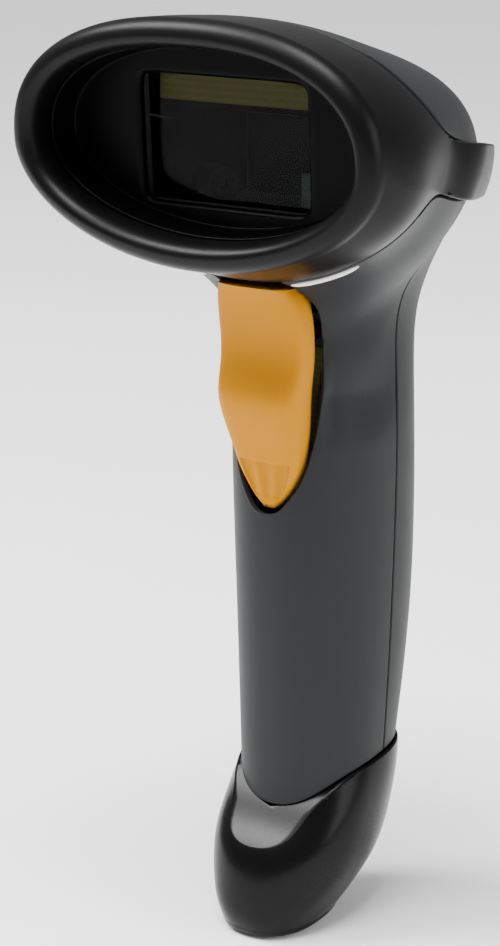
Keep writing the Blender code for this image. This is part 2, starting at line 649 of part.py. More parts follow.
def screw(name, head_r, head_h, shank_r, length, seat, direction):
    """A screw with a domed head; seat is the middle of the head's underside, direction where it points."""
    profile = [(0, -length), (shank_r, -length), (shank_r, 0), (head_r, 0), (head_r, head_h * 0.7),
               (head_r * 0.7, head_h), (0, head_h)]
    turn = {"front": (-math.pi / 2, 0, 0), "down": (0, 0, 0)}[direction]
    obj = turned(name, "steel", profile[::-1], seat, turn, 16)
    slot = cylinder(f"{name}_recess", None, head_r * 0.42, head_h * 0.9, seat, "z", 6)
    slot.rotation_euler = turn
    slot.data.transform(Matrix.Translation((0, 0, head_h * MM)))
    return cut(obj, slot)


def housing_screws():
    for name, up in HOUSING_SCREWS:
        screw(f"housing_screw_{name}", 2.5, 1.6, 1.1, 14, (0, HOUSING_SCREW_SEAT - GAP, up), "front")


def cable_socket():
    across, reach = (-SOCKET_HALF, SOCKET_HALF), (SOCKET_BACK, SOCKET_FRONT)
    body = box("cable_socket", "chip", across, reach, (SOCKET_LOW, SOCKET_HIGH), 0.3)
    cut(body, box("jack_hole", None, (-JACK_HALF, JACK_HALF), (JACK_BACK, JACK_FRONT), (-60, JACK_TOP)))
    cut(body, box("latch_slot", None, (-3.1, 3.1), (JACK_FRONT - 1, JACK_FRONT + 1.1), (-60, JACK_TOP - 4)))
    near = JACK_BACK + GAP
    comb = box("socket_contacts", "brass", (-5.2, 5.2), (near, near + 0.5), (JACK_TOP - 2.2, JACK_TOP - GAP))
    for i in range(10):
        across = -4.59 + 1.02 * i
        join(comb, box(f"contact_{i}", None, (across - 0.22, across + 0.22), (near + 0.05, near + 0.45),
                       (JACK_TOP - 9, JACK_TOP - 1)))


def base_boot():
    places = np.linspace(0, 1, 14)
    boot = loft("base_boot", "boot", stations(BOOT, places, np.zeros(14), 28))
    keep(boot, prism("boot_region", None, boot_region(), (0, 0, 0), 30, SIDE_VIEW))
    places = np.linspace(0.85, 1, 5)
    plug = stations(HOUSING, places, np.full(5, GAP - BOOT_LET_IN), CORE_SIDES)
    cut(boot, loft("boot_bore", None, plug + [plug[-1] - (0, 0, 1.0)]))
    inside = stations(BOOT, np.linspace(0.15, 0.8, 6), np.full(6, -BOOT_WALL), CORE_SIDES)
    cut(boot, loft("boot_hollow", None, inside))
    cut(boot, box("board_slot", None, (-8.6, 8.6), (-4.1, 2), (BOARD_LOW - 2 * GAP, -30)))
    pocket = SOCKET_HALF + GAP
    depth = (SOCKET_BACK - GAP, SOCKET_FRONT + GAP)
    cut(boot, box("socket_pocket", None, (-pocket, pocket), depth, (SOCKET_LOW - GAP, -30)))
    cut(boot, box("cable_opening", None, (-6.4, 6.4), (0.1, 8.6), (-60, -48)))
    return boot


# ---- scan engine ---------------------------------------------------------------------------------
def engine_chassis():
    low, wall, half = ENGINE_LOW, ENGINE_WALL, ENGINE_HALF
    tray = box("engine_chassis", "zinc", (-half, half), (ENGINE_BACK, ENGINE_FRONT), (low, ENGINE_HIGH), 0.4)
    cut(tray, box("tray_space", None, (wall - half, half - wall), (ENGINE_BACK + wall, 40), (low + wall, 99)))
    cut(tray, cylinder("shaft_seat", None, 0.95, 6, (0, SHAFT_FORWARD, low), "z"))
    for side, word in ((-1, "left"), (1, "right")):
        cut(tray, cylinder(f"mount_hole_{word}", None, 1.3, 6, (side * POST[0], POST[1], low), "z"))
        waist = [(2.3, 1.3), (1.9, 0.95), (2.3, 0.6)]
        ring = [(1.15, 1.9), (2.3, 1.9), *waist, (2.3, 0), (1.15, 0), (1.15, 1.9)]
        turned(f"engine_grommet_{word}", "rubber", ring, (side * POST[0], POST[1], low - GAP - 1.9))
        screw(f"engine_screw_{word}", 2.1, 1.2, 0.8, 7, (side * POST[0], POST[1], low + wall + GAP), "down")


def scan_mirror():
    """The mirror that sweeps the beam: holder, mirror and magnet turn together on an upright shaft."""
    low, middle = ENGINE_LOW + ENGINE_WALL + 0.6, 76.0
    cylinder("mirror_shaft", "steel", 0.8, 14.6, (0, SHAFT_FORWARD, ENGINE_LOW + 7.4), "z")
    holder = box("mirror_holder", "chip", (-3.4, 3.4), (3.2, 7.0), (low, 81.2), 0.3)
    join(holder, box("magnet_arm", None, (-1.4, 1.4), (1.7, 4), (74.6, 77.4)))
    cut(holder, cylinder("shaft_bore", None, 0.95, 30, (0, SHAFT_FORWARD, middle), "z"))
    mirror = box("collector_mirror", "mirror", (-10, 10), (7.3, 8.4), (low + 0.4, 81.8), 0.25)
    magnet = box("mirror_magnet", "steel", (-1.6, 1.6), (-0.8, 1.4), (74.4, 77.6), 0.2)
    axis = pivot_empty("mirror_axis", SHAFT_FORWARD, middle)
    for piece in (holder, mirror, magnet):
        hang_on(axis, piece)
    ring = [(2.0, 1.3), (4.6, 1.3), (4.6, -1.3), (2.0, -1.3), (2.0, 1.3)]
    turned("drive_coil", "copper", ring, (0, -2.9, middle), (math.pi / 2, 0, 0), 24)


def laser_and_sensor():
    barrel = [(0, 4.4), (2.7, 4.4), (2.7, -2.6), (2.1, -2.6), (2.1, -4.4), (0, -4.4)]
    aim = math.atan2(12.2, 8.0)
    where, turn = (-11.4, 15.4, 71.6), (math.pi / 2, 0, aim)
    laser = turned("laser_module", "brass", barrel, where, turn, 20)
    aperture = cylinder("laser_aperture", None, 0.9, 3, where, "z", 12)
    aperture.rotation_euler = turn
    aperture.data.transform(Matrix.Translation((0, 0, 4.0 * MM)))
    cut(laser, aperture)
    box("photodiode", "chip", (9.9, 14.3), (20.0, 21.2), (69.8, 75.6), 0.2)
    box("photodiode_filter", "teal", (10.4, 13.8), (21.5, 22.5), (70.0, 75.4), 0.15)
    box("engine_board", "board", (-14.9, 14.9), (23.6, 24.6), (85.3, 90.4))


def flex_ribbon():
    """Flat cable from the back of the engine down to the main board."""
    route = smooth_outline([(-8.4, 72), (-8.6, 66), (-6.6, 60), (-3.9, 56.6), (-2.7, 54.7)], 12)
    thick = 0.35
    along = np.gradient(route, axis=0)
    out = np.c_[-along[:, 1], along[:, 0]] / np.linalg.norm(along, axis=1)[:, None]
    outline = np.vstack([route, (route + thick * out)[::-1]])
    prism("flex_ribbon", "flex", outline, (0, 0, 0), 5, SIDE_VIEW)


seat = seat_cutter()
front_shell, rear_shell = shells(seat)
bumper = nose_bumper()
trim_strips(bumper)
nose_recess()
trigger()
trigger_spring()
trigger_switch()
main_board()
housing_screws()
cable_socket()
base_boot()
engine_chassis()
scan_mirror()
laser_and_sensor()
flex_ribbon()
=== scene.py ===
# %% [markdown]
# # A handheld barcode scanner, dressed up
# A working model of the scanner is already packed: boards, scan engine, trigger, shells, each on its own
# body. This notebook gives it its looks. It reads that model as a fixed frame, makes the visible covers
# again as fine surfaces, and paints everything with procedural materials.
#
# Lengths are in millimetres, written (across, forward, up): the nose points forward, the handle hangs
# down, and the origin is the middle of the grip. They become metres only when a mesh is made.

# %% Load the frame
import math

import bmesh
import bpy
import numpy as np
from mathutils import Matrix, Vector


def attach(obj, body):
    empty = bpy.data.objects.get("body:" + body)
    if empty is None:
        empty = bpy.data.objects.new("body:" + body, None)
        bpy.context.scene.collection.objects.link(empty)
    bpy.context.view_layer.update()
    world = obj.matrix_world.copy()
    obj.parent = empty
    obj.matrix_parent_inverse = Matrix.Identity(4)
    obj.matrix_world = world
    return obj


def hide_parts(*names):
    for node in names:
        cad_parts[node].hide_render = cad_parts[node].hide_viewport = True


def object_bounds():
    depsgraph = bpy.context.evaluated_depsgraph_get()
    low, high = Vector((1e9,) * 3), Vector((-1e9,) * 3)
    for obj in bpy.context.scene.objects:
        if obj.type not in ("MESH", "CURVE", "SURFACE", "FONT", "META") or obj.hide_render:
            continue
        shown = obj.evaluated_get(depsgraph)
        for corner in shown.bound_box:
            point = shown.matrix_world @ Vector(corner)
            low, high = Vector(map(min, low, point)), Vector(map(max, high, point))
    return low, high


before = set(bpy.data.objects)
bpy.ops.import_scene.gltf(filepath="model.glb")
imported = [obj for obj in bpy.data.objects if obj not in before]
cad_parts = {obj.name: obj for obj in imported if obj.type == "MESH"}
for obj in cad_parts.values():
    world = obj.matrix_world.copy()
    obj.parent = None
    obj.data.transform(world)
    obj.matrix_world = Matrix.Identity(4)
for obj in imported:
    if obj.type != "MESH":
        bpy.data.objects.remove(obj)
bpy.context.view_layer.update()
MM = 0.001
GAP = 0.3

# %% [markdown]
# ## The body as a formula
# The housing is one flowing form: an oval head that narrows and turns down into the handle. A modeller
# could push a subdivision cage about, but the covers of a real scanner are cut from one master surface,
# so that their edges meet. The same is done here. The master surface is a stack of closed sections. Each
# stands between a lower front point and an upper rear point, and the numbers in a row run smoothly from
# section to section along a cubic spline.

# %% The master sections
# place 0..1, front point (forward, up), rear point (forward, up), half width, where it is widest 0..1,
# and the roundness of the front and rear halves (2 is an ellipse, more is boxier)
HOUSING = np.array([
    (0.00, 35.0, 60.9, 37.2, 99.5, 34.4, 0.48, 1.97, 2.3),
    (0.12, 29.5, 59.5, 23.8, 98.6, 34.9, 0.43, 2.0, 2.3),
    (0.25, 22.5, 57.5, 8.4, 94.9, 31.7, 0.52, 2.1, 2.3),
    (0.38, 18.5, 55.0, -12.9, 88.4, 27.2, 0.47, 2.1, 2.25),
    (0.50, 16.5, 51.5, -26.2, 77.8, 20.8, 0.46, 2.15, 2.2),
    (0.60, 16.0, 47.0, -28.0, 67.0, 14.8, 0.43, 2.2, 2.2),
    (0.70, 16.2, 40.5, -19.8, 53.5, 13.0, 0.38, 2.2, 2.2),
    (0.80, 17.3, 28.0, -15.9, 35.5, 13.4, 0.50, 2.2, 2.3),
    (0.90, 16.7, -2.0, -15.8, 1.5, 12.8, 0.53, 2.2, 2.4),
    (1.00, 15.2, -40.0, -11.9, -30.1, 11.2, 0.45, 2.2, 2.4),
])
BOOT = np.array([
    (0.00, 15.9, -29.0, -13.5, -20.0, 11.9, 0.45, 2.2, 2.4),
    (0.20, 18.3, -33.8, -12.9, -26.2, 12.9, 0.45, 2.2, 2.4),
    (0.40, 22.2, -39.2, -11.4, -33.8, 12.9, 0.45, 2.2, 2.4),
    (0.60, 23.9, -45.4, -9.2, -41.0, 11.8, 0.45, 2.2, 2.4),
    (0.78, 24.0, -50.0, -5.4, -46.4, 9.8, 0.45, 2.3, 2.4),
    (0.91, 22.5, -53.6, -0.4, -50.8, 7.6, 0.45, 2.4, 2.4),
    (1.00, 20.8, -55.8, 4.0, -54.0, 5.6, 0.45, 2.5, 2.4),
])


def spline(rows, where):
    """Natural cubic spline: each column is a run of cubics whose slopes and bends agree at the rows."""
    knots, values = rows[:, 0], rows[:, 1:]
    step = np.diff(knots)
    slope = np.diff(values, axis=0) / step[:, None]
    count = len(knots)
    system, right = np.eye(count), np.zeros_like(values)
    inner = np.arange(1, count - 1)
    system[inner, inner - 1], system[inner, inner + 1] = step[:-1], step[1:]
    system[inner, inner] = 2 * (step[:-1] + step[1:])
    right[1:-1] = 6 * np.diff(slope, axis=0)
    bend = np.linalg.solve(system, right)
    i = np.clip(np.searchsorted(knots, where, side="right") - 1, 0, count - 2)
    t, h = (where - knots[i])[..., None], step[i][..., None]
    first = slope[i] - h * (2 * bend[i] + bend[i + 1]) / 6
    return values[i] + t * first + t**2 * bend[i] / 2 + t**3 * (bend[i + 1] - bend[i]) / (6 * h)


def skin(table, place, angle, grow=0.0):
    """Points of a body. Along a section's line from front to rear point, a point lies at `part`, a power
    of the angle's cosine; its distance across is the half width times the same power of the sine. Angle
    0 is the rear, pi the front. `grow` moves the whole section outwards."""
    place, angle, grow = np.broadcast_arrays(place, angle, grow)
    row = spline(table, place)
    front, rear = row[..., 0:2], row[..., 2:4]
    unit = (rear - front) / np.linalg.norm(rear - front, axis=-1, keepdims=True)
    front, rear = front - grow[..., None] * unit, rear + grow[..., None] * unit
    c, q = np.cos(angle), np.sin(angle)
    power = 2 / np.where(c < 0, row[..., 6], row[..., 7])
    part = row[..., 5] + np.where(c < 0, row[..., 5], 1 - row[..., 5]) * np.sign(c) * np.abs(c)**power
    across = (row[..., 4] + grow) * np.sign(q) * np.abs(q)**power
    side = front + part[..., None] * (rear - front)
    return np.concatenate([across[..., None], side], -1)


def ease(low, high, start, end, where):
    """A value that goes smoothly from low at start to high at end."""
    t = np.clip((where - start) / (end - start), 0, 1)
    return low + (high - low) * t * t * (3 - 2 * t)


head = skin(HOUSING, np.linspace(0, 0.5, 60)[:, None], np.linspace(0, 2 * math.pi, 90))
print("head is", round(np.ptp(head[..., 0]), 1), "mm wide")

# %% [markdown]
# ## Lines drawn on the body
# The covers meet along lines that a designer draws in side view: the edge of the black bumper, the
# parting of the two shells, the top of the boot. To cut the master surface along them exactly, each
# line is turned into the body's own coordinates, a place along it and an angle round it. A section is a
# straight line in side view, so the place is where that line passes through the point.

# %% From side view to the body
SEARCH = 1501


def locate(table, points):
    """Place of side-view points, and how far along the section's line they are; found says which lie
    between the first and last section. The side of the line that a point is on changes at its place."""
    fine = np.linspace(0, 1, SEARCH)
    rows = spline(table, fine)
    line = rows[:, 2:4] - rows[:, 0:2]
    side = line[:, 0] * (points[:, 1:2] - rows[:, 1]) - line[:, 1] * (points[:, 0:1] - rows[:, 0])
    crossing = side[:, :-1] * side[:, 1:] <= 0
    i, k = np.argmax(crossing, axis=1), np.arange(len(points))
    place = fine[i] + fine[1] * side[k, i] / (side[k, i] - side[k, i + 1])
    row = spline(table, np.clip(place, 0, 1))
    line = row[:, 2:4] - row[:, 0:2]
    part = ((points - row[:, 0:2]) * line).sum(1) / (line**2).sum(1)
    return place, part, crossing.any(axis=1)


def angle_at(table, place, part):
    """The angle whose cosine, raised to the section's power, gives that part of the line."""
    row = spline(table, place)
    swing = (part - row[:, 5]) / np.where(part < row[:, 5], row[:, 5], 1 - row[:, 5])
    roundness = np.where(swing < 0, row[:, 6], row[:, 7])
    return np.arccos(np.sign(swing) * np.minimum(np.abs(swing), 1)**(roundness / 2))


def traced(points, count=2500):
    """A smooth line through a few points, read at many."""
    points = np.array(points, float)
    run = np.r_[0, np.cumsum(np.hypot(*np.diff(points, axis=0).T))]
    return spline(np.c_[run, points], np.linspace(0, run[-1], count))


def moved(path, by):
    """The path moved sideways, to the left of its direction if by is above 0."""
    along = np.gradient(path, axis=0)
    left = np.c_[-along[:, 1], along[:, 0]] / np.linalg.norm(along, axis=1)[:, None]
    return path + by * left


def laid(table, path):
    """(place, angle) pairs along a side-view path. Where the path leaves the body's outline, the pairs
    end on it, at angle 0 or pi."""
    place, part, found = locate(table, path)
    inside = np.flatnonzero(found & (part > 0) & (part < 1))
    first, last = inside[0], inside[-1]
    pairs = np.c_[place, np.zeros(len(place))][first:last + 1]
    pairs[:, 1] = angle_at(table, pairs[:, 0], part[first:last + 1])
    ends = [np.array([[pairs[k, 0], 0 if part[n] > 0.5 else math.pi]])
            for k, n in ((0, first), (-1, last))]
    if first > 0:
        pairs = np.vstack([ends[0], pairs])
    if last < len(path) - 1:
        pairs = np.vstack([pairs, ends[1]])
    return pairs


def evenly(table, pairs, count):
    """The same line read at points the same distance apart on the body."""
    points = skin(table, pairs[:, 0], pairs[:, 1])
    run = np.r_[0, np.cumsum(np.linalg.norm(np.diff(points, axis=0), axis=1))]
    where = np.linspace(0, run[-1], count)
    return np.c_[np.interp(where, run, pairs[:, 0]), np.interp(where, run, pairs[:, 1])]


def straight(start, end, count):
    """Pairs on the straight way from one pair to another."""
    return np.linspace(start, end, count)


def filled(low, high, left, right, fade=1):
    """A patch between four edges: straight rows from left to right, plus the bulge of the low and the
    high edge over their own straight rows, which fades with a power of the way to the other edge. Low
    and high run the same way, as do left and right."""
    u, v = np.linspace(0, 1, len(low))[None, :, None], np.linspace(0, 1, len(left))[:, None, None]
    rows = (1 - u) * left[:, None] + u * right[:, None]
    return rows + (1 - v)**fade * (low[None] - rows[:1]) + v**fade * (high[None] - rows[-1:])


def upright(forward, high=74, low=-30):
    """Pairs down the side of the handle at one forward position."""
    return laid(HOUSING, np.c_[np.full(2000, forward), np.linspace(high, low, 2000)])


def between(first, pairs, last):
    """The pairs with their place between those of two others, which become the ends."""
    inside = (pairs[:, 0] > first[0]) & (pairs[:, 0] < last[0])
    return np.vstack([first, pairs[inside], last])


print("the middle of the grip lies at place", locate(HOUSING, np.array([[0.0, 0.0]]))[0].round(3))


# %% The lines of this scanner
WEDGE_TOP = [(25.5, 103), (25.3, 96), (23.2, 91.6), (20, 87), (15.5, 83), (10, 80.6), (0, 78.3),
             (-36, 71.8)]
WEDGE_LOW = [(-36, 63.6), (0, 70.1), (10, 71.9), (17, 73.2), (21.5, 72.4), (25, 69.4), (26, 65),
             (24.6, 61), (23, 57), (22.6, 52)]
BOOT_TOP = [(-20, -24.3), (1.5, -25.8), (6.0, -26.5), (9.5, -27.6), (13.2, -30.1), (15.5, -32.4),
            (19, -36), (25, -40)]
PARTING = -1.0                             # forward position of the plane where the shells meet
wedge_top, wedge_low, boot_top = traced(WEDGE_TOP), traced(WEDGE_LOW), traced(BOOT_TOP)
above_wedge, below_wedge = moved(wedge_top, -GAP), moved(wedge_low, -GAP)
above_boot = boot_top + (0, GAP)
print("wedge top runs over", len(laid(HOUSING, wedge_top)), "points of the head")

# %% [markdown]
# ## From a grid of points to a piece
# Every cover is a grid, one row of points after another. Half of it is worked out, mirrored in the middle
# plane and welded, so the two sides match to the last digit, as they do when a mould is cut. The wall
# and the rounded edges of moulded plastic come from Solidify and Bevel.

# %% Grids, walls and edges
WELD = 1e-6                                # metres; points closer than this become one


def faces_of(rows, columns, ring=False):
    """Corner numbers of the quads between neighbouring rows and columns; a ring also closes its end."""
    r, c = np.meshgrid(np.arange(rows - 1), np.arange(columns if ring else columns - 1), indexing="ij")
    here, beside = r * columns + c, r * columns + (c + 1) % columns
    return np.stack([here, beside, beside + columns, here + columns], -1).reshape(-1, 4)


def outward(points, faces, away):
    """The quads turned so that most of them look the way `away` points."""
    a, b, c, d = (points[faces[:, k]] for k in range(4))
    normal = np.cross(c - a, d - b)
    return faces if (normal * away[faces[:, 0]]).sum() > 0 else faces[:, ::-1]


def mesh_piece(name, grids, *, mirrored=False, ring=False, closed=False):
    """A mesh from grids, each a pair: points (rows, columns, 3) in mm and the way they should face. A
    closed piece has its faces turned outwards all round."""
    points, faces, start = [], [], 0
    for grid, away in grids:
        flat = grid.reshape(-1, 3) * (1, -1, 1)
        turn = np.broadcast_to(away, grid.shape).reshape(-1, 3) * (1, -1, 1)
        quads = outward(flat, faces_of(*grid.shape[:2], ring), turn)
        for sign in (1, -1) if mirrored else (1,):
            points.append(flat * (sign, 1, 1))
            faces.append(start + (quads if sign == 1 else quads[:, ::-1]))
            start += len(flat)
    mesh = bpy.data.meshes.new(name)
    mesh.from_pydata(np.vstack(points) * MM, [], np.vstack(faces).tolist())
    work = bmesh.new()
    work.from_mesh(mesh)
    bmesh.ops.remove_doubles(work, verts=work.verts, dist=WELD)
    bmesh.ops.dissolve_degenerate(work, edges=work.edges, dist=WELD)
    if closed:
        bmesh.ops.recalc_face_normals(work, faces=work.faces)
    work.to_mesh(mesh)
    work.free()
    mesh.shade_smooth()
    piece = bpy.data.objects.new(name, mesh)
    bpy.context.scene.collection.objects.link(piece)
    return piece


def walled(piece, thick, group=None):
    """A wall behind the surface; a vertex group, if given, makes it thinner in places."""
    wall = piece.modifiers.new("wall", "SOLIDIFY")
    wall.thickness, wall.offset = thick * MM, -1
    if group:
        wall.vertex_group = group
    return piece


def eased(piece, width, limit=50, segments=3):
    """Rounded edges wherever the surface turns sharply."""
    edge = piece.modifiers.new("edges", "BEVEL")
    edge.width, edge.segments = width * MM, segments
    edge.limit_method, edge.angle_limit = "ANGLE", math.radians(limit)
    edge.use_clamp_overlap = False


def cut_by(piece, *cutters):
    """Takes the cutters away from the piece for good: its modifiers become mesh and the cutters go."""
    for cutter in cutters:
        hole = piece.modifiers.new("hole", "BOOLEAN")
        hole.operation, hole.solver, hole.object = "DIFFERENCE", "EXACT", cutter
    bpy.context.view_layer.update()
    cut = piece.evaluated_get(bpy.context.evaluated_depsgraph_get())
    piece.data = bpy.data.meshes.new_from_object(cut)
    piece.data.name = piece.name
    piece.modifiers.clear()
    for cutter in cutters:
        bpy.data.objects.remove(cutter)


def put(piece, finish, body="root", *replaced, slot):
    """Paints the piece and sets it on its body, in place of the plain CAD nodes."""
    piece.data.materials.clear()
    piece.data.materials.append(finish)
    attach(piece, body)
    if replaced:
        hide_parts(*replaced)
    print(f"{piece.name}: {len(piece.data.polygons)} faces")


def outward_of(table, place, angle):
    """Which way the skin faces: from itself to the same skin grown by a millimetre."""
    return skin(table, place, angle, 1.0) - skin(table, place, angle)


def cover(table, pairs, grow=0.0):
    """A grid of pairs made ready for mesh_piece: its points and the way they face."""
    place, angle = pairs[..., 0], pairs[..., 1]
    return skin(table, place, angle, grow), outward_of(table, place, angle)


print("a grid of 3 by 4 points has", len(faces_of(3, 4)), "faces")


# %% [markdown]
# ## Painting by formula
# Shader maths is easier to read as maths. The small class below wraps a shader value, so that
# `1 - mask * 0.3` adds its own Math nodes. Every other node comes from one method.

# %% Shader values and finishes
class Value:
    """A shader value that can be added, taken away and multiplied."""
    def __init__(self, finish, socket):
        self.finish, self.socket = finish, socket

    def _math(self, operation, first, second):
        return self.finish.node("ShaderNodeMath", {"operation": operation}, {0: first, 1: second})

    def __add__(self, other):
        return self._math("ADD", self, other)

    def __sub__(self, other):
        return self._math("SUBTRACT", self, other)

    def __rsub__(self, other):
        return self._math("SUBTRACT", other, self)

    def __mul__(self, other):
        return self._math("MULTIPLY", self, other)


class Finish:
    """A material built round one Principled BSDF. Constants are set on its sockets."""
    def __init__(self, name, **constants):
        self.material = bpy.data.materials.new(name)
        self.material.use_nodes = True
        self.tree = self.material.node_tree
        self.shader = self.tree.nodes["Principled BSDF"]
        for key, value in constants.items():
            self.shader.inputs[key.replace("_", " ")].default_value = value

    def node(self, kind, settings=None, inputs=None, output=0):
        """A node of that kind: settings first, then values or links for its sockets."""
        node = self.tree.nodes.new(kind)
        for key, value in (settings or {}).items():
            setattr(node, key, value)
        for key, value in (inputs or {}).items():
            if isinstance(value, Value):
                self.tree.links.new(value.socket, node.inputs[key])
            else:
                node.inputs[key].default_value = value
        return Value(self, node.outputs[output])

    def place(self, turn=(0, 0, 0), scale=(1, 1, 1)):
        """Object coordinates, in metres, turned and stretched if asked."""
        where = self.node("ShaderNodeTexCoord", output="Object")
        if turn == (0, 0, 0) and scale == (1, 1, 1):
            return where
        return self.node("ShaderNodeMapping", None,
                         {"Vector": where, "Rotation": turn, "Scale": scale})

    def noise(self, size, detail=3.0, rough=0.5, scale=(1, 1, 1)):
        """Cloudy noise from 0 to 1 whose blobs are about `size` millimetres."""
        return self.node("ShaderNodeTexNoise", None,
                         {"Vector": self.place(scale=scale), "Scale": 1 / (size * MM), "Detail": detail,
                          "Roughness": rough})

    def mix(self, mask, first, second):
        """The first colour where the mask is 0, the second where it is 1."""
        return self.node("ShaderNodeMix", {"data_type": "RGBA"}, {0: mask, 6: first, 7: second}, 2)

    def give(self, **channels):
        """Links values to the shader's sockets, named with _ for a space."""
        for key, value in channels.items():
            self.tree.links.new(value.socket, self.shader.inputs[key.replace("_", " ")])

    def bump(self, height, depth):
        """Raises the surface by depth millimetres where height is 1."""
        return self.node("ShaderNodeBump", None,
                         {"Height": height, "Distance": depth * MM, "Strength": 1.0})


def shade(red, green, blue):
    """A colour from screen values, 0 to 255, made linear."""
    return tuple(((v / 255 + 0.055) / 1.055)**2.4 if v > 10 else v / 255 / 12.92
                 for v in (red, green, blue))


def rgba(colour, times=1.0):
    """A colour made lighter or darker, with the fourth number that a socket wants."""
    return (*(c * times for c in colour), 1)


print("middle grey on a screen is", round(shade(128, 128, 128)[0], 3), "of white")


# %% [markdown]
# ## Plastics
# The shells are moulded in a fine spark texture, which spreads highlights and hides finger marks. Its grain
# is about 0.3 mm across and only hundredths deep. The bumper is the same but closer to satin, the boot is
# smooth with a soft gloss, and the trigger is a saturated amber with a fainter grain. Broad cloudy changes
# of roughness stand for handling.

# %% Plastic finishes
def moulded(name, colour, rough, grain, depth, wear=0.08, coat=0.0, tint=0.12, gloss=0.5):
    """Moulded plastic: grain as bump (its width and depth in mm), cloudy roughness with handling as
    wear, and a slight change of colour over the piece."""
    made = Finish(name, Coat_Weight=coat, Coat_Roughness=0.3, Specular_IOR_Level=gloss)
    cloud = made.noise(14, 4)
    fine = made.noise(grain, 2, 0.6)
    made.give(Base_Color=made.mix(cloud, rgba(colour, 1 - tint), rgba(colour, 1 + tint)),
              Roughness=(cloud - 0.5) * wear * 2 + (fine - 0.5) * 0.1 + rough,
              Normal=made.bump(fine, depth))
    return made.material


before = len(bpy.data.materials)
SHELL = moulded("charcoal_plastic", shade(34, 35, 36), 0.50, 0.30, 0.018, gloss=0.12)
BUMPER = moulded("satin_black_overmould", shade(7, 7, 8), 0.36, 0.35, 0.012, gloss=0.1)
HOOD = moulded("glossy_black_hood", shade(4, 4, 5), 0.34, 0.5, 0.006, wear=0.05, gloss=0.04)
BOOT_BLACK = moulded("smooth_black_boot", shade(7, 7, 7), 0.25, 0.6, 0.006, gloss=0.12)
AMBER = moulded("amber_plastic", (0.47, 0.185, 0.0), 0.45, 0.35, 0.010, wear=0.05, tint=0.05,
                gloss=0.06)
PALE = moulded("pale_trim_plastic", shade(232, 229, 222), 0.38, 0.4, 0.006, wear=0.04, tint=0.04)
CHIP = moulded("chip_black", shade(38, 38, 40), 0.5, 0.2, 0.008)
SOFT = moulded("soft_black_rubber", shade(30, 30, 31), 0.75, 0.25, 0.012)
print("plastics:", len(bpy.data.materials) - before)

# %% [markdown]
# ## Metals, boards and glass
# Inside are turned and drawn steel, die-cast zinc, brass contacts and enamelled copper wire. Drawn metal has
# fine lines along it: noise stretched in one direction. The circuit boards are olive solder mask over copper
# tracks, made from a brick pattern whose mortar is the gap between tracks. The winding's rings stand round
# the coil's middle, at a height COIL_UP.

# %% Metal, board and glass finishes
def metal(name, colour, rough, stretch=(1, 1, 1), depth=0.004):
    """Metal with fine drawn or cast marks, longer where stretch is small."""
    made = Finish(name, Metallic=1.0)
    marks = made.noise(0.4, 3, 0.6, stretch)
    made.give(Base_Color=made.mix(marks, rgba(colour, 0.85), rgba(colour, 1.1)),
              Roughness=(marks - 0.5) * 0.25 + rough, Normal=made.bump(marks, depth))
    return made.material


def circuit_board(name, mask_colour, copper):
    """Solder mask over copper: brick rows give the tracks, speckle the vias and the weave's grain."""
    made = Finish(name, Coat_Weight=0.3, Coat_Roughness=0.2)
    tracks = made.node("ShaderNodeTexBrick", {"offset": 0.37},
                       {"Vector": made.place(turn=(math.pi / 2, 0, 0)), "Scale": 1.0, "Mortar Size": 0.00022,
                        "Brick Width": 0.0061, "Row Height": 0.0011}, output="Fac")
    weave = made.noise(0.25, 2)
    base = made.mix(tracks, rgba(mask_colour), rgba(copper))
    made.give(Base_Color=made.mix(weave * 0.3, base, rgba(mask_colour, 0.6)), Roughness=0.55 - tracks * 0.2,
              Normal=made.bump(tracks + weave * 0.2, 0.03))
    return made.material


COIL_UP, RING_SCALE = 76, 0.314            # the wave node draws one ring in RING_SCALE metres at scale 1


def winding(name, colour, pitch):
    """Enamelled wire laid side by side: rings round the coil's middle, as seen from the front."""
    made = Finish(name, Metallic=1.0)
    rings = made.node("ShaderNodeTexWave", {"wave_type": "RINGS", "rings_direction": "Y"},
                      {"Vector": made.node("ShaderNodeMapping", None,
                                           {"Vector": made.place(), "Location": (0, 0, -COIL_UP * MM)}),
                       "Scale": RING_SCALE / (pitch * MM)})
    made.give(Base_Color=made.mix(rings, rgba(colour, 0.5), rgba(colour)), Roughness=0.5 - rings * 0.2,
              Normal=made.bump(rings, 0.05))
    return made.material


def clear_pane(name, colour, alpha, rough=0.04):
    """A tinted pane seen through: thin, so light goes straight on, with faint wiping marks."""
    made = Finish(name, Alpha=alpha, Specular_IOR_Level=0.08)
    wiped = made.noise(3, 4, 0.6, (1, 1, 0.2))
    made.give(Base_Color=made.mix(wiped, rgba(colour, 0.8), rgba(colour)), Roughness=wiped * 0.06 + rough)
    return made.material


STEEL = metal("bright_steel", (0.36, 0.36, 0.37), 0.34, (1, 1, 0.1))
ZINC = metal("die_cast_zinc", (0.20, 0.20, 0.21), 0.5)
BLACKED = moulded("blacked_metal", shade(10, 10, 10), 0.6, 0.2, 0.004, gloss=0.1)
BRASS = metal("plain_brass", (0.72, 0.52, 0.22), 0.3, (1, 1, 0.1))
MIRROR = metal("front_mirror", (0.07, 0.073, 0.067), 0.35, (0.05, 0.05, 0.05), 0.0)
COPPER = winding("copper_winding", (0.62, 0.27, 0.12), 0.25)
OLIVE = circuit_board("olive_circuit_board", shade(190, 186, 84), shade(205, 196, 110))
FLEX = moulded("amber_flex", shade(168, 104, 30), 0.3, 0.3, 0.004, coat=0.5)
PANE_ALPHA = 0.5
GLASS = clear_pane("smoked_pane", shade(4, 5, 4), PANE_ALPHA)
TEAL = moulded("teal_filter_coat", shade(98, 150, 138), 0.2, 0.5, 0.001, coat=0.8)
print("window lets", 1 - PANE_ALPHA, "of the light through")

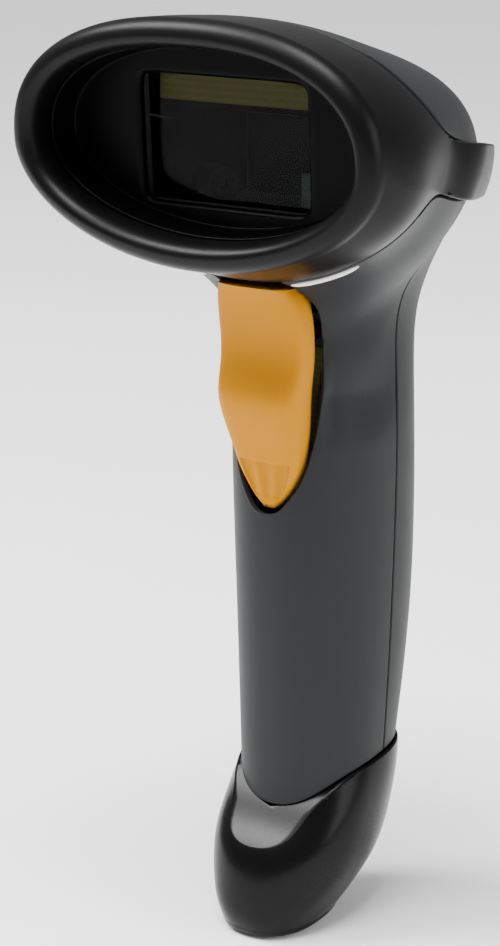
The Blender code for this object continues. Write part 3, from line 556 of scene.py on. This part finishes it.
# %% [markdown]
# ## Front shell
# The front shell is the face of the handle. Its top edge follows the black bumper, its rear edge is the
# parting plane, its foot the boot, and it is open in front for the trigger. Cutting the hole with a Boolean
# would leave ragged shading, so the hole is one of the patch's edges instead. A shallow scoop on each flank
# lets the finger reach round the trigger.

# %% The trigger's shape in front view
# up, half width, front and back (forward), from its top to its tip
TRIGGER = np.array([
    (56.8, 6.5, 22.6, 12.8), (54.0, 7.6, 21.3, 12.6), (50.0, 8.1, 20.1, 12.4), (47.0, 8.1, 19.7, 12.2),
    (44.0, 8.0, 19.9, 12.0), (41.0, 7.8, 20.8, 11.9), (38.4, 7.6, 21.4, 11.8), (36.0, 7.4, 21.0, 11.7),
    (33.0, 7.1, 19.9, 11.6), (29.0, 6.4, 18.4, 11.4), (26.0, 5.6, 17.7, 11.2), (23.2, 4.3, 17.1, 11.1),
    (21.2, 2.9, 16.8, 11.2), (19.6, 1.2, 16.4, 11.4),
])
BAY_GAP, BAY_TUCK = 0.75, 0.6              # the gap, and how far the bay reaches in behind the trigger
BAY_TOP, TIP_DROP, NEAR_MIDDLE = (TRIGGER[0, 1] - 0.4, 59.2), 0.35, 0.25
bay_tip = (0.0, TRIGGER[-1, 0] - TIP_DROP)
bay_edge = moved(traced([BAY_TOP, *TRIGGER[:, [1, 0]], bay_tip]), BAY_GAP)
bay_edge = bay_edge[bay_edge[:, 0] > NEAR_MIDDLE]
bay_up = bay_edge[:, 1]
bay_edge[:, 0] -= BAY_TUCK * ease(-0.35, 1, 39, 46, bay_up) * ease(1, 0, 48, 54, bay_up)
print("bay is", round(2 * bay_edge[:, 0].max(), 1), "mm wide")


def on_front(table, across, up):
    """(place, angle) of front-view points on the body's front half, by Newton's steps: each divides the
    miss by the slopes of across and up with place and with angle."""
    fine = np.linspace(0.1, 1, 900)
    rows = spline(table, fine)
    place = np.interp(-up, -rows[:, 1], fine)
    row = spline(table, place)
    angle = math.pi - np.arcsin(np.clip(across / row[:, 4], 0, 0.95)**(row[:, 6] / 2))
    target, nudge = np.c_[across, up], 1e-5
    for _ in range(12):
        here = skin(table, place, angle)[:, [0, 2]]
        by_place = (skin(table, place + nudge, angle)[:, [0, 2]] - here) / nudge
        by_angle = (skin(table, place, angle - nudge)[:, [0, 2]] - here) / -nudge
        miss = target - here
        area = by_place[:, 0] * by_angle[:, 1] - by_place[:, 1] * by_angle[:, 0]
        place = place + (miss[:, 0] * by_angle[:, 1] - miss[:, 1] * by_angle[:, 0]) / area
        angle = angle + (by_place[:, 0] * miss[:, 1] - by_place[:, 1] * miss[:, 0]) / area
        angle = np.clip(angle, 0.5 * math.pi, math.pi - 1e-4)
    return np.c_[place, angle]


# %% Front shell
SCOOP_DEPTH, SCOOP_TOP, SCOOP_VALLEY, SCOOP_FOOT = 1.7, 47.0, 38.0, 29.5
CHEEK_ANGLE = 1.83                         # where the chin's edge turns from the patch's top to its side
BELOW_TIP = 0.88                           # place on the seam that is joined to the bay's lowest point
CHEEK_ROWS, BAY_ROWS, SHIN_ROWS, SHELL_COLUMNS = 50, 110, 90, 90
FRONT_WALL, EDGE_ROUND = 1.0, 0.22


def part_of(path, low, high):
    """The stretch of a side-view path with its forward position between two values."""
    return path[(path[:, 0] >= low) & (path[:, 0] <= high)]


def scoop(points):
    """Depth of the finger scoop. It sinks as a square from its top to the valley and comes up again
    sooner, and it runs out backwards along the flank."""
    across, forward, up = np.moveaxis(points, -1, 0)
    sinking = np.clip((SCOOP_TOP - up) / (SCOOP_TOP - SCOOP_VALLEY), 0, 1)**2
    rising = ease(0, 1, SCOOP_FOOT, SCOOP_VALLEY, up)
    flank = ease(0, 1, -3, 8, forward) * ease(0, 1, 8.4, 10.2, np.abs(across))
    return SCOOP_DEPTH * flank * np.where(up > SCOOP_VALLEY, sinking, rising)


bay = on_front(HOUSING, *bay_edge.T)
chin_edge = laid(HOUSING, part_of(below_wedge, PARTING, 40)[::-1])      # from the chin to the parting
chin_points = skin(HOUSING, chin_edge[:, 0], chin_edge[:, 1])
bay_points = skin(HOUSING, bay[:, 0], bay[:, 1])
bay_across = np.interp(chin_points[:, 2], bay_points[::-1, 2], bay_points[::-1, 0])
start = np.argmax(chin_points[:, 0] > bay_across)
bay = bay[bay_points[:, 2] < chin_points[start, 2] - 0.3]
fine = np.linspace(0.5, 1, 500)
bay_foot = np.interp(BAY_GAP - bay_tip[1], -spline(HOUSING, fine)[:, 1], fine)
bay = np.vstack([chin_edge[start], bay, (bay_foot, math.pi)])
foot = laid(HOUSING, part_of(above_boot, PARTING, 40)[::-1])             # from the front to the parting
seam = between(chin_edge[-1], upright(PARTING), foot[-1])
cheek = np.argmax(chin_edge[:, 1] < CHEEK_ANGLE)
below = np.argmax(seam[:, 0] > BELOW_TIP)
inner = np.vstack([evenly(HOUSING, bay, BAY_ROWS),
                   evenly(HOUSING, straight(bay[-1], foot[0], 50), SHIN_ROWS)[1:]])
outer = np.vstack([evenly(HOUSING, chin_edge[cheek:], CHEEK_ROWS),
                   evenly(HOUSING, seam[:below + 1], BAY_ROWS - CHEEK_ROWS + 1)[1:],
                   evenly(HOUSING, seam[below:], SHIN_ROWS)[1:]])
front_grid = filled(evenly(HOUSING, chin_edge[start:cheek + 1], SHELL_COLUMNS),
                    evenly(HOUSING, foot, SHELL_COLUMNS), inner, outer, fade=3)
plain = skin(HOUSING, front_grid[..., 0], front_grid[..., 1])
scooped = cover(HOUSING, front_grid, -scoop(plain))
front_shell = mesh_piece("front_shell_cover", [scooped], mirrored=True)
eased(walled(front_shell, FRONT_WALL), EDGE_ROUND)
put(front_shell, SHELL, "root", "front_shell", slot="charcoal_shell")

# %% [markdown]
# ## Rear shell
# The rear shell closes the handle from behind and, above the strap of the bumper, is the top of the head.
# Both are patches of the same master surface. The head's patch has no natural corners, because its edge
# runs smoothly round, so the corners are put where that edge turns from crossing the head to running
# along it. Behind the seam a tongue laps inside the front shell, so that no light shows through. Two
# wells are bored from the back for the housing screws, and lined.

# %% Rear shell, below and above the strap
REAR_FACE = PARTING - GAP
strap_low = laid(HOUSING, part_of(below_wedge, -60, REAR_FACE)[::-1])     # from the parting to the back
foot_rear = laid(HOUSING, part_of(above_boot, -60, REAR_FACE)[::-1])
seam_rear = between(strap_low[0], upright(REAR_FACE), foot_rear[0])
REAR_COLUMNS, REAR_ROWS = 70, 160
spine = straight(strap_low[-1], foot_rear[-1], 200)
rear_grid = filled(evenly(HOUSING, strap_low, REAR_COLUMNS), evenly(HOUSING, foot_rear, REAR_COLUMNS),
                   evenly(HOUSING, seam_rear, REAR_ROWS), evenly(HOUSING, spine, REAR_ROWS))
crown_edge = laid(HOUSING, above_wedge)                                   # from the nose's top to the back
CROWN_POINTS, CORNER_FRONT, CORNER_REAR = 400, 0.26, 0.90
run = evenly(HOUSING, crown_edge, CROWN_POINTS)
first, last = int(CROWN_POINTS * CORNER_FRONT), int(CROWN_POINTS * CORNER_REAR)
CROWN_ROWS, CROWN_COLUMNS = 60, 120
crown_grid = filled(evenly(HOUSING, straight(run[0], run[-1], 200), CROWN_COLUMNS),
                    evenly(HOUSING, run[first:last + 1], CROWN_COLUMNS),
                    evenly(HOUSING, run[:first + 1], CROWN_ROWS),
                    evenly(HOUSING, run[last:][::-1], CROWN_ROWS))
WALL = 1.9
TONGUE, TONGUE_POINTS = (0.9, -0.6, -2.1, -3.6), 140      # forward positions of the tongue's lines
tongue = np.array([evenly(HOUSING, upright(f, 68, -28), TONGUE_POINTS) for f in TONGUE])
grids = [cover(HOUSING, rear_grid), cover(HOUSING, crown_grid), cover(HOUSING, tongue, -WALL - 0.1)]
SCREW_WELLS, WELL_RADIUS, WELL_FLOOR = (-20.0, 10.0), 3.0, -8.4
WELL_SLACK, WELL_INSIDE = 0.05, 0.4        # the lining stands this far off the bore and off the wall
CUTTER_LONG, CUTTER_BACK = 16, 17


def rear_of(up):
    """Forward position of the body's rear outline at a height on the handle."""
    fine = spline(HOUSING, np.linspace(0.7, 1, 400))
    return float(np.interp(-up, -fine[:, 3], fine[:, 2]))


def well(up):
    """Half of a tube from just inside the shell's wall down to the screw's seat."""
    turn = np.linspace(-math.pi / 2, math.pi / 2, 33)
    ring = np.c_[np.cos(turn), np.zeros(33), np.sin(turn)] * (WELL_RADIUS + WELL_SLACK)
    levels = np.linspace(rear_of(up) + WALL + WELL_INSIDE, WELL_FLOOR, 9)
    middles = np.stack([0 * levels, levels, 0 * levels + up], -1)[:, None]
    return ring + middles, -ring * np.ones((9, 1, 1))


def well_cutter(up):
    """A cylinder that bores the shell's wall for a well."""
    bpy.ops.mesh.primitive_cylinder_add(
        vertices=96, radius=WELL_RADIUS * MM, depth=CUTTER_LONG * MM,
        location=(0, CUTTER_BACK * MM, up * MM), rotation=(math.pi / 2, 0, 0))
    return bpy.context.object


grids += [well(up) for up in SCREW_WELLS]
rear_shell = walled(mesh_piece("rear_shell_cover", grids, mirrored=True), WALL)
cut_by(rear_shell, *[well_cutter(up) for up in SCREW_WELLS])
eased(rear_shell, EDGE_ROUND)
put(rear_shell, SHELL, "root", "rear_shell", slot="charcoal_shell")

# %% [markdown]
# ## Nose bumper
# The black overmould is a thick rolled rim round the window, with a strap that runs back along the head and
# round behind it. The rim's lip is drawn as a profile: a quarter round outside and a longer one inside.
# Each column of the grid keeps its angle, so the lip's rows and the skin's rows line up.

# %% Nose bumper
LIP_ROUND, LIP_INNER, LIP_DEPTH = 2.9, 4.75, 2.2
INNER_START, INNER_REACH, INNER_TURN = 0.4, 3.3, 2.05      # the lip's longer round, on the inside
PROUD_NOSE, PROUD_STRAP, SWELL = -0.1, 2.8, (0.25, 0.36)
MOUTH = 12.0                               # forward position where rim and strap are joined
MOUTH_COLUMNS, TOP_COLUMNS, LOW_COLUMNS, RIM_ROWS, STRAP_COLUMNS = 16, 90, 70, 40, 110
STRAP_THICK, RIM_THICK, THINNING = 3.2, 1.6, (9, 17)
BUMPER_ROUND = 0.45


def proud(place):
    """How far the bumper stands off the master surface: little at the nose, more from the wedges back."""
    return ease(PROUD_NOSE, PROUD_STRAP, *SWELL, place)


def rim(depth, inset, angle):
    """The first section moved straight back by depth and in by inset: a ring parallel to the rim."""
    row = HOUSING[0, 1:]
    line = (row[2:4] - row[0:2]) / np.linalg.norm(row[2:4] - row[0:2])
    ring = skin(HOUSING, np.zeros_like(angle), angle, -inset)
    return ring + np.array([0, -line[1], line[0]]) * depth


top_line, low_line = laid(HOUSING, wedge_top), laid(HOUSING, wedge_low)
top_forward = skin(HOUSING, top_line[:, 0], top_line[:, 1])[:, 1]
low_forward = skin(HOUSING, low_line[:, 0], low_line[:, 1])[:, 1]
top_corner = np.argmax(top_forward < MOUTH)
low_corner = np.argmax(low_forward > MOUTH)
mouth = straight(top_line[top_corner], low_line[low_corner], MOUTH_COLUMNS)
back_edge = np.vstack([evenly(HOUSING, top_line[:top_corner + 1], TOP_COLUMNS), mouth[1:-1],
                       evenly(HOUSING, low_line[low_corner:], LOW_COLUMNS)])
place = np.linspace(0, 1, RIM_ROWS)[:, None] * back_edge[:, 0]
rim_pairs = np.stack(np.broadcast_arrays(place, back_edge[:, 1]), -1)
outside, away = cover(HOUSING, rim_pairs, proud(place))
turn = np.linspace(0, math.pi / 2, 9)
inner_way = [(INNER_START - INNER_REACH * math.sin(t), LIP_INNER - INNER_TURN * (1 - math.cos(t)))
             for t in turn]
outer_way = [(-LIP_ROUND * math.cos(t), LIP_ROUND * (1 - math.sin(t)) - PROUD_NOSE) for t in turn[1:-1]]
profile = [(LIP_DEPTH, LIP_INNER), *inner_way, *outer_way]
lip = np.array([rim(depth, inset, back_edge[:, 1]) for depth, inset in profile])
strap = filled(evenly(HOUSING, top_line[top_corner:], STRAP_COLUMNS),
               evenly(HOUSING, low_line[:low_corner + 1][::-1], STRAP_COLUMNS),
               mouth, straight(top_line[-1], low_line[0], MOUTH_COLUMNS))
band = cover(HOUSING, strap, proud(strap[..., 0]))
ring = np.concatenate([lip, outside]), np.concatenate([np.zeros_like(lip), away])
bumper = mesh_piece("nose_bumper_skin", [ring, band], mirrored=True)
group = bumper.vertex_groups.new(name="thickness")
forward = np.array([-v.co.y / MM for v in bumper.data.vertices])
levels = np.round(ease(STRAP_THICK, RIM_THICK, *THINNING, forward) / STRAP_THICK, 2)
for level in np.unique(levels):
    group.add(np.flatnonzero(levels == level).tolist(), float(level), "REPLACE")
eased(walled(bumper, STRAP_THICK, "thickness"), BUMPER_ROUND)
put(bumper, BUMPER, "root", "nose_bumper", slot="black_bumper")

# %% [markdown]
# ## Recess and window
# Behind the rim a funnel runs in to a flat floor with the window's frame in it. The floor's inner edge is a
# rectangle with rounded corners, written in polar form: the distance to it in a direction is one over a
# high power mean of the distances to its two pairs of sides.

# %% Hood and window pane
MOUTH_INSET, FUNNEL, FLOOR_DEPTH = 4.3, (5.0, 5.5), 7.5      # how far in from the rim, and how deep
WINDOW_HALF, WINDOW_UP, REVEAL = (15.7, 10.0), -0.9, 0.5
HOOD_WALL, FRAME_STEPS = 1.0, (0.5, 1.4)   # the steps are the frame's depths behind the floor
RIM_MIDDLE = (0, 36.1, 80.2)
TILT = math.atan2(HOUSING[0, 3] - HOUSING[0, 1], HOUSING[0, 4] - HOUSING[0, 2])
BACK = np.array([0, -math.cos(TILT), math.sin(TILT)])
RISE = np.array([0, math.sin(TILT), math.cos(TILT)])
CENTRE = RIM_MIDDLE + FLOOR_DEPTH * BACK + WINDOW_UP * RISE
ring_angle = np.linspace(0, 2 * math.pi, 240, endpoint=False)


def in_window(x, z, depth):
    """Points of the window's own plane, depth millimetres behind the floor."""
    x, z, depth = np.broadcast_arrays(x, z, depth)
    return CENTRE + x[..., None] * (1, 0, 0) + z[..., None] * RISE + depth[..., None] * BACK


def frame_ring(half, depth, polar, square=14):
    """A rounded rectangle read at polar angles."""
    c, q = np.cos(polar), np.sin(polar)
    reach = (np.abs(c / half[0])**square + np.abs(q / half[1])**square)**(-1 / square)
    return in_window(reach * c, reach * q, depth)


mouth_depth = LIP_DEPTH + GAP
funnel = [rim(mouth_depth, MOUTH_INSET, ring_angle)]
funnel += [rim(mouth_depth + (FLOOR_DEPTH - mouth_depth) * t,
               FUNNEL[0] + (FUNNEL[1] - FUNNEL[0]) * t**1.5, ring_angle) for t in np.linspace(0, 1, 12)]
around = funnel[-1] - CENTRE
polar = np.arctan2(around @ RISE, around[:, 0])
hole = frame_ring((WINDOW_HALF[0] + REVEAL, WINDOW_HALF[1] + REVEAL), 0, polar)
floor_rows = [funnel[-1] + (hole - funnel[-1]) * t for t in np.linspace(0, 1, 10)[1:]]
frame_rows = [frame_ring(WINDOW_HALF, d, polar) for d in FRAME_STEPS]
hood_grid = np.array(funnel + floor_rows + frame_rows)
hood = walled(mesh_piece("window_hood", [(hood_grid, -BACK)], ring=True), HOOD_WALL)
eased(hood, 0.2, limit=40, segments=2)
put(hood, HOOD, "root", "window_bezel", slot="black_hood")

PANE_HALF, PANE_SQUARE, PANE_THICK, PANE_BACK = (17.0, 11.3), 10, 1.2, 2.8
share = np.array([0, 0.5, 0.8, 1, 1, 0.8, 0.5, 0])[:, None, None]
depth = np.array([0, 0, 0, 0, 1, 1, 1, 1]) * PANE_THICK + PANE_BACK
even = np.linspace(0, 2 * math.pi, 160, endpoint=False)
middles = [in_window(0, 0, d) for d in depth]
rings = [m + s * (frame_ring(PANE_HALF, d, even, PANE_SQUARE) - m) for m, s, d in zip(middles, share, depth)]
pane = mesh_piece("smoked_window", [(np.array(rings), -BACK)], ring=True, closed=True)
eased(pane, 0.15, segments=2)
put(pane, GLASS, "root", "scan_window", slot="window_glass")

# %% [markdown]
# ## Trigger
# The trigger is a curved lever: hollow under the head where the fingertip lies, a bump below it, and a
# ribbed tip. It is a stack of sections like the housing, so the same formula makes it. The ribs stand
# between grooves, a cosine across the tip, cut into a shallow panel. A bump in the material could draw
# them too, but they would be missing from the mesh.

# %% Trigger
LEVER_SHAPE = (0.30, 3.2, 3.0)             # where a section is widest, and its front and rear roundness
PANEL_TOP, PANEL_LOW, PANEL_DEPTH = 27.7, 20.9, 0.2
PANEL_SIDES = (0.74, 0.86)                 # shares of the half width where the panel ends
GROOVE_DEPTH, GROOVE_STEP = 0.6, 0.6       # the step is a share of the half width
rise, half, front, rear = TRIGGER.T
shape = np.tile(LEVER_SHAPE, (len(TRIGGER), 1))
lever = np.c_[np.linspace(0, 1, len(TRIGGER)), front, rise, rear, rise, half, shape]
along, around = np.linspace(0, 1, 260)[:, None], np.linspace(0, 2 * math.pi, 220, endpoint=False)
points = skin(lever, along, around)
share = points[..., 0] / spline(lever, along)[..., 4]          # across, as a share of the half width
up = points[..., 2]
panel = ease(0, 1, PANEL_LOW, PANEL_LOW + 0.8, up) * ease(1, 0, PANEL_TOP - 0.5, PANEL_TOP, up)
panel = panel * ease(1, 0, *PANEL_SIDES, np.abs(share)) * (np.cos(around) < 0)
grooves = 0.5 + 0.5 * np.cos(2 * math.pi * share / GROOVE_STEP)
points[..., 1] -= panel * (PANEL_DEPTH + GROOVE_DEPTH * grooves * ease(0.35, 1, PANEL_LOW, 25, up))
middle = points.mean(axis=1, keepdims=True)
top_cap = [middle[0] + (points[0] - middle[0]) * s for s in (0, 0.5, 0.9)]
tip_cap = [middle[-1] + (points[-1] - middle[-1]) * s - (0, 0, drop)
           for s, drop in ((0.75, 0.25), (0.4, 0.42), (0, 0.45))]
body = np.concatenate([np.array(top_cap), points, np.array(tip_cap)])
trigger = mesh_piece("trigger_lever", [(body, body - body.mean(axis=1, keepdims=True))], ring=True)
eased(trigger, 0.5, limit=40)
put(trigger, AMBER, "trigger", "trigger", slot="amber_trigger")

# %% [markdown]
# ## Boot
# A black boot closes the foot of the handle and carries the cable jack. Its top edge is another side-view
# line. From that edge a narrow shelf runs in to just under the shells. The toe swells forward, and the
# boot ends in a small flat with a rolled edge. The cable's opening is cut through the flat with a Boolean:
# a flat has no curved shading for the cut to spoil.

# %% Boot
BASE_UP, TOE_ROUND, TUCK = -53.0, 1.2, 1.2
BOOT_WALL, BOOT_ROUND = 1.5, 0.3
CABLE_FORWARD, CABLE_HOLE, CUT_UP = 4.35, (12.8, 8.5, 8), 1      # middle, size, and how far it is raised
BOOT_COLUMNS, BOOT_ROWS = 110, 70
rim_line = evenly(BOOT, laid(BOOT, boot_top)[::-1], BOOT_COLUMNS)         # from the toe to the heel
level = np.c_[np.linspace(40, -30, 2500), np.full(2500, BASE_UP + TOE_ROUND)]
base_line = evenly(BOOT, laid(BOOT, level), BOOT_COLUMNS)
share = np.linspace(0, 1, BOOT_ROWS)[:, None, None]
grid = rim_line + share * (base_line - rim_line)
side = skin(BOOT, grid[..., 0], grid[..., 1])
edge_ring = side[-1]
flat_centre = np.array([0.0, edge_ring[:, 1].mean(), BASE_UP])
inward = (flat_centre - edge_ring) * (1, 1, 0)
inward /= np.linalg.norm(inward, axis=1)[:, None]
turn = np.linspace(0, math.pi / 2, 7)[1:, None, None]
rolled = edge_ring + inward * TOE_ROUND * (1 - np.cos(turn)) - np.array([0, 0, TOE_ROUND]) * np.sin(turn)
under = rolled[-1] + np.linspace(0, 1, 12)[1:, None, None] * (flat_centre - rolled[-1])
# the shelf: from the boot's edge straight across, until TUCK under the shells
rim_points = side[0]
place, part, found = locate(HOUSING, rim_points[:, 1:])
on_handle = found & (part > 0) & (part < 1)
handle_half = np.abs(skin(HOUSING, place, angle_at(HOUSING, place, part))[:, 0]) - TUCK
reach = np.where(on_handle, np.maximum(handle_half, 0), 0)
shelf_in = rim_points * (0, 1, 1) + reach[:, None] * (1, 0, 0)
shelf = rim_points + np.linspace(1, 0, 8)[:-1, None, None] * (shelf_in - rim_points)
boot_grid = np.concatenate([shelf, side, rolled, under])
facing = np.zeros_like(boot_grid)
facing[len(shelf):len(shelf) + BOOT_ROWS] = outward_of(BOOT, grid[..., 0], grid[..., 1])
boot = walled(mesh_piece("foot_boot", [(boot_grid, facing)], mirrored=True), BOOT_WALL)

bpy.ops.mesh.primitive_cube_add(size=1, location=(0, -CABLE_FORWARD * MM, (BASE_UP + CUT_UP) * MM))
cable_cutter = bpy.context.object
cable_cutter.scale = [length * MM for length in CABLE_HOLE]
cut_by(boot, cable_cutter)
eased(boot, BOOT_ROUND, limit=45)
put(boot, BOOT_BLACK, "root", "base_boot", slot="black_boot")

# %% [markdown]
# ## Seam trim
# In the seam under the head, beside the trigger, a thin pale strip shows on each side. It is a tube along a
# line on the body, thinner towards its ends.

# %% Trim strips
STRIP_START, STRIP_END = (0.262, 166), (0.207, 140)        # place, and angle in degrees
STRIP_PROUD, STRIP_RADIUS, STRIP_TAPER, STRIP_SIDES = 0.12, 0.42, 0.75, 16


def strip(word, side):
    """A round tube whose radius falls at the ends as the sixth power of the way from the middle."""
    t = np.linspace(0, 1, 50)
    place, degrees = (a + (b - a) * t for a, b in zip(STRIP_START, STRIP_END))
    line = skin(HOUSING, place, np.radians(degrees), STRIP_PROUD)
    radius = STRIP_RADIUS * (1 - np.abs(2 * t - 1)**6 * STRIP_TAPER)
    along = np.gradient(line, axis=0)
    along /= np.linalg.norm(along, axis=1)[:, None]
    first = np.cross(along, (0, 0, 1.0))
    first /= np.linalg.norm(first, axis=1)[:, None]
    second = np.cross(along, first)
    turn = np.linspace(0, 2 * math.pi, STRIP_SIDES, endpoint=False)[None, :, None]
    ring = np.cos(turn) * first[:, None] + np.sin(turn) * second[:, None]
    tube = line[:, None] + radius[:, None, None] * ring
    ends = [np.repeat(line[k][None], STRIP_SIDES, 0)[None] for k in (0, -1)]
    rows = np.concatenate([ends[0], tube, ends[1]]) * (side, 1, 1)
    away = rows - rows.mean(axis=1, keepdims=True)
    made = mesh_piece(f"trim_strip_{word}", [(rows, away)], ring=True)
    put(made, PALE, "root", f"seam_trim_{word}", slot="pale_trim")


strip("left", -1)
strip("right", 1)

# %% [markdown]
# ## Finishes for the pieces that stay
# The boards, the scan engine, the screws and the jack are right as they are. They only need their finish.

# %% Paint the carried-over nodes
PAINT = {
    OLIVE: ["main_board", "engine_board"],
    CHIP: ["trigger_switch", "decoder_chip", "memory_chip", "beeper", "cable_socket", "mirror_holder",
           "photodiode"],
    STEEL: ["trigger_pin", "trigger_spring", "crystal", "mirror_shaft", "mirror_magnet", "board_screw_left",
            "board_screw_right", "engine_screw_left", "engine_screw_right", "housing_screw_lower",
            "housing_screw_upper"],
    BLACKED: ["engine_chassis", "laser_module"],
    ZINC: ["capacitor_left", "capacitor_right", "switch_plunger"],
    BRASS: ["socket_contacts"],
    MIRROR: ["collector_mirror"],
    COPPER: ["drive_coil"],
    TEAL: ["photodiode_filter"],
    FLEX: ["flex_ribbon"],
    SOFT: ["window_gasket", "engine_grommet_left", "engine_grommet_right"],
}
for finish, names in PAINT.items():
    for name in names:
        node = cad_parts[name]
        node.data.materials.clear()
        node.data.materials.append(finish)
painted = {name for names in PAINT.values() for name in names}
left_plain = [n for n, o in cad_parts.items() if n not in painted and not o.hide_render]
print("nodes still plain:", left_plain)

# %% [markdown]
# ## Floor, light and camera
# The floor and the sky are pale and plain. A soft square light overhead brightens the crown and the
# trigger, one on the left draws the long highlight round the rim, and a weaker one on the right opens the
# shadows. A sun as broad as a lit ceiling fills the rest.

# %% Stage
FLOOR_SIZE, FLOOR_DROP, SKY_STRENGTH = 6, 0.0005, 0.45     # metres, metres, no unit
CEILING_STRENGTH, CEILING_SPREAD = 2.6, math.radians(50)
low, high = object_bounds()
bpy.ops.mesh.primitive_plane_add(size=FLOOR_SIZE, location=(0, 0, low.z - FLOOR_DROP))
floor = bpy.context.object
floor.name = "floor"
paper = Finish("pale_paper", Roughness=0.9)
paper.give(Base_Color=paper.mix(paper.noise(40, 3), rgba((0.93, 0.93, 0.93)), rgba((0.96, 0.96, 0.96))))
floor.data.materials.append(paper.material)

world = bpy.data.worlds.new("pale_sky")
bpy.context.scene.world = world
world.use_nodes = True
sky = world.node_tree.nodes["Background"].inputs
sky["Color"].default_value, sky["Strength"].default_value = (1, 1, 1, 1), SKY_STRENGTH


def hang(light, place, aim):
    """Hangs a light at a place, turned to look at aim; both in metres."""
    holder = bpy.data.objects.new(light.name, light)
    bpy.context.scene.collection.objects.link(holder)
    holder.location = place
    holder.rotation_euler = (Vector(aim) - Vector(place)).to_track_quat("-Z", "Y").to_euler()


# name, place, what it looks at, side of the square (all in metres), power in watts
for name, place, aim, size, power in [("overhead_light", (0.05, -0.20, 0.78), (0, 0, 0.03), 0.35, 10),
                                      ("right_light", (0.8, 0.05, 0.30), (0, 0, 0.03), 0.5, 4),
                                      ("left_light", (-0.46, -0.22, 0.62), (0, 0, 0.0), 0.28, 8)]:
    box = bpy.data.lights.new(name, "AREA")
    box.shape, box.size, box.energy = "SQUARE", size, power
    hang(box, place, aim)
ceiling = bpy.data.lights.new("ceiling_light", "SUN")
ceiling.energy, ceiling.angle = CEILING_STRENGTH, CEILING_SPREAD
hang(ceiling, (0, 0, 0), (0.25, 0.35, -1))
print("lights:", len(bpy.data.lights))

# %% Camera
AZIMUTH, ELEVATION, DISTANCE = math.radians(34), math.radians(15), 0.430
LENS, SENSOR = 98.2, 36                    # both in mm
AIM_UP, AIM_ASIDE = 0.0216, -0.0125        # metres; the view is aimed a little beside the handle
flat_way = math.cos(ELEVATION)
away = Vector((math.sin(AZIMUTH) * flat_way, -math.cos(AZIMUTH) * flat_way, math.sin(ELEVATION)))
middle_height = Vector((0, 0, AIM_UP))
aside = Vector((math.cos(AZIMUTH), math.sin(AZIMUTH), 0)) * AIM_ASIDE
camera_data = bpy.data.cameras.new("camera")
camera_data.lens, camera_data.sensor_width = LENS, SENSOR
camera = bpy.data.objects.new("camera", camera_data)
bpy.context.scene.collection.objects.link(camera)
camera.location = middle_height + away * DISTANCE
camera.rotation_euler = (middle_height + aside - camera.location).to_track_quat("-Z", "Y").to_euler()
camera_data.clip_start, camera_data.clip_end = 0.01, 20
bpy.context.scene.camera = camera
print("the camera is", round(camera.location.length, 3), "m from the middle of the grip")
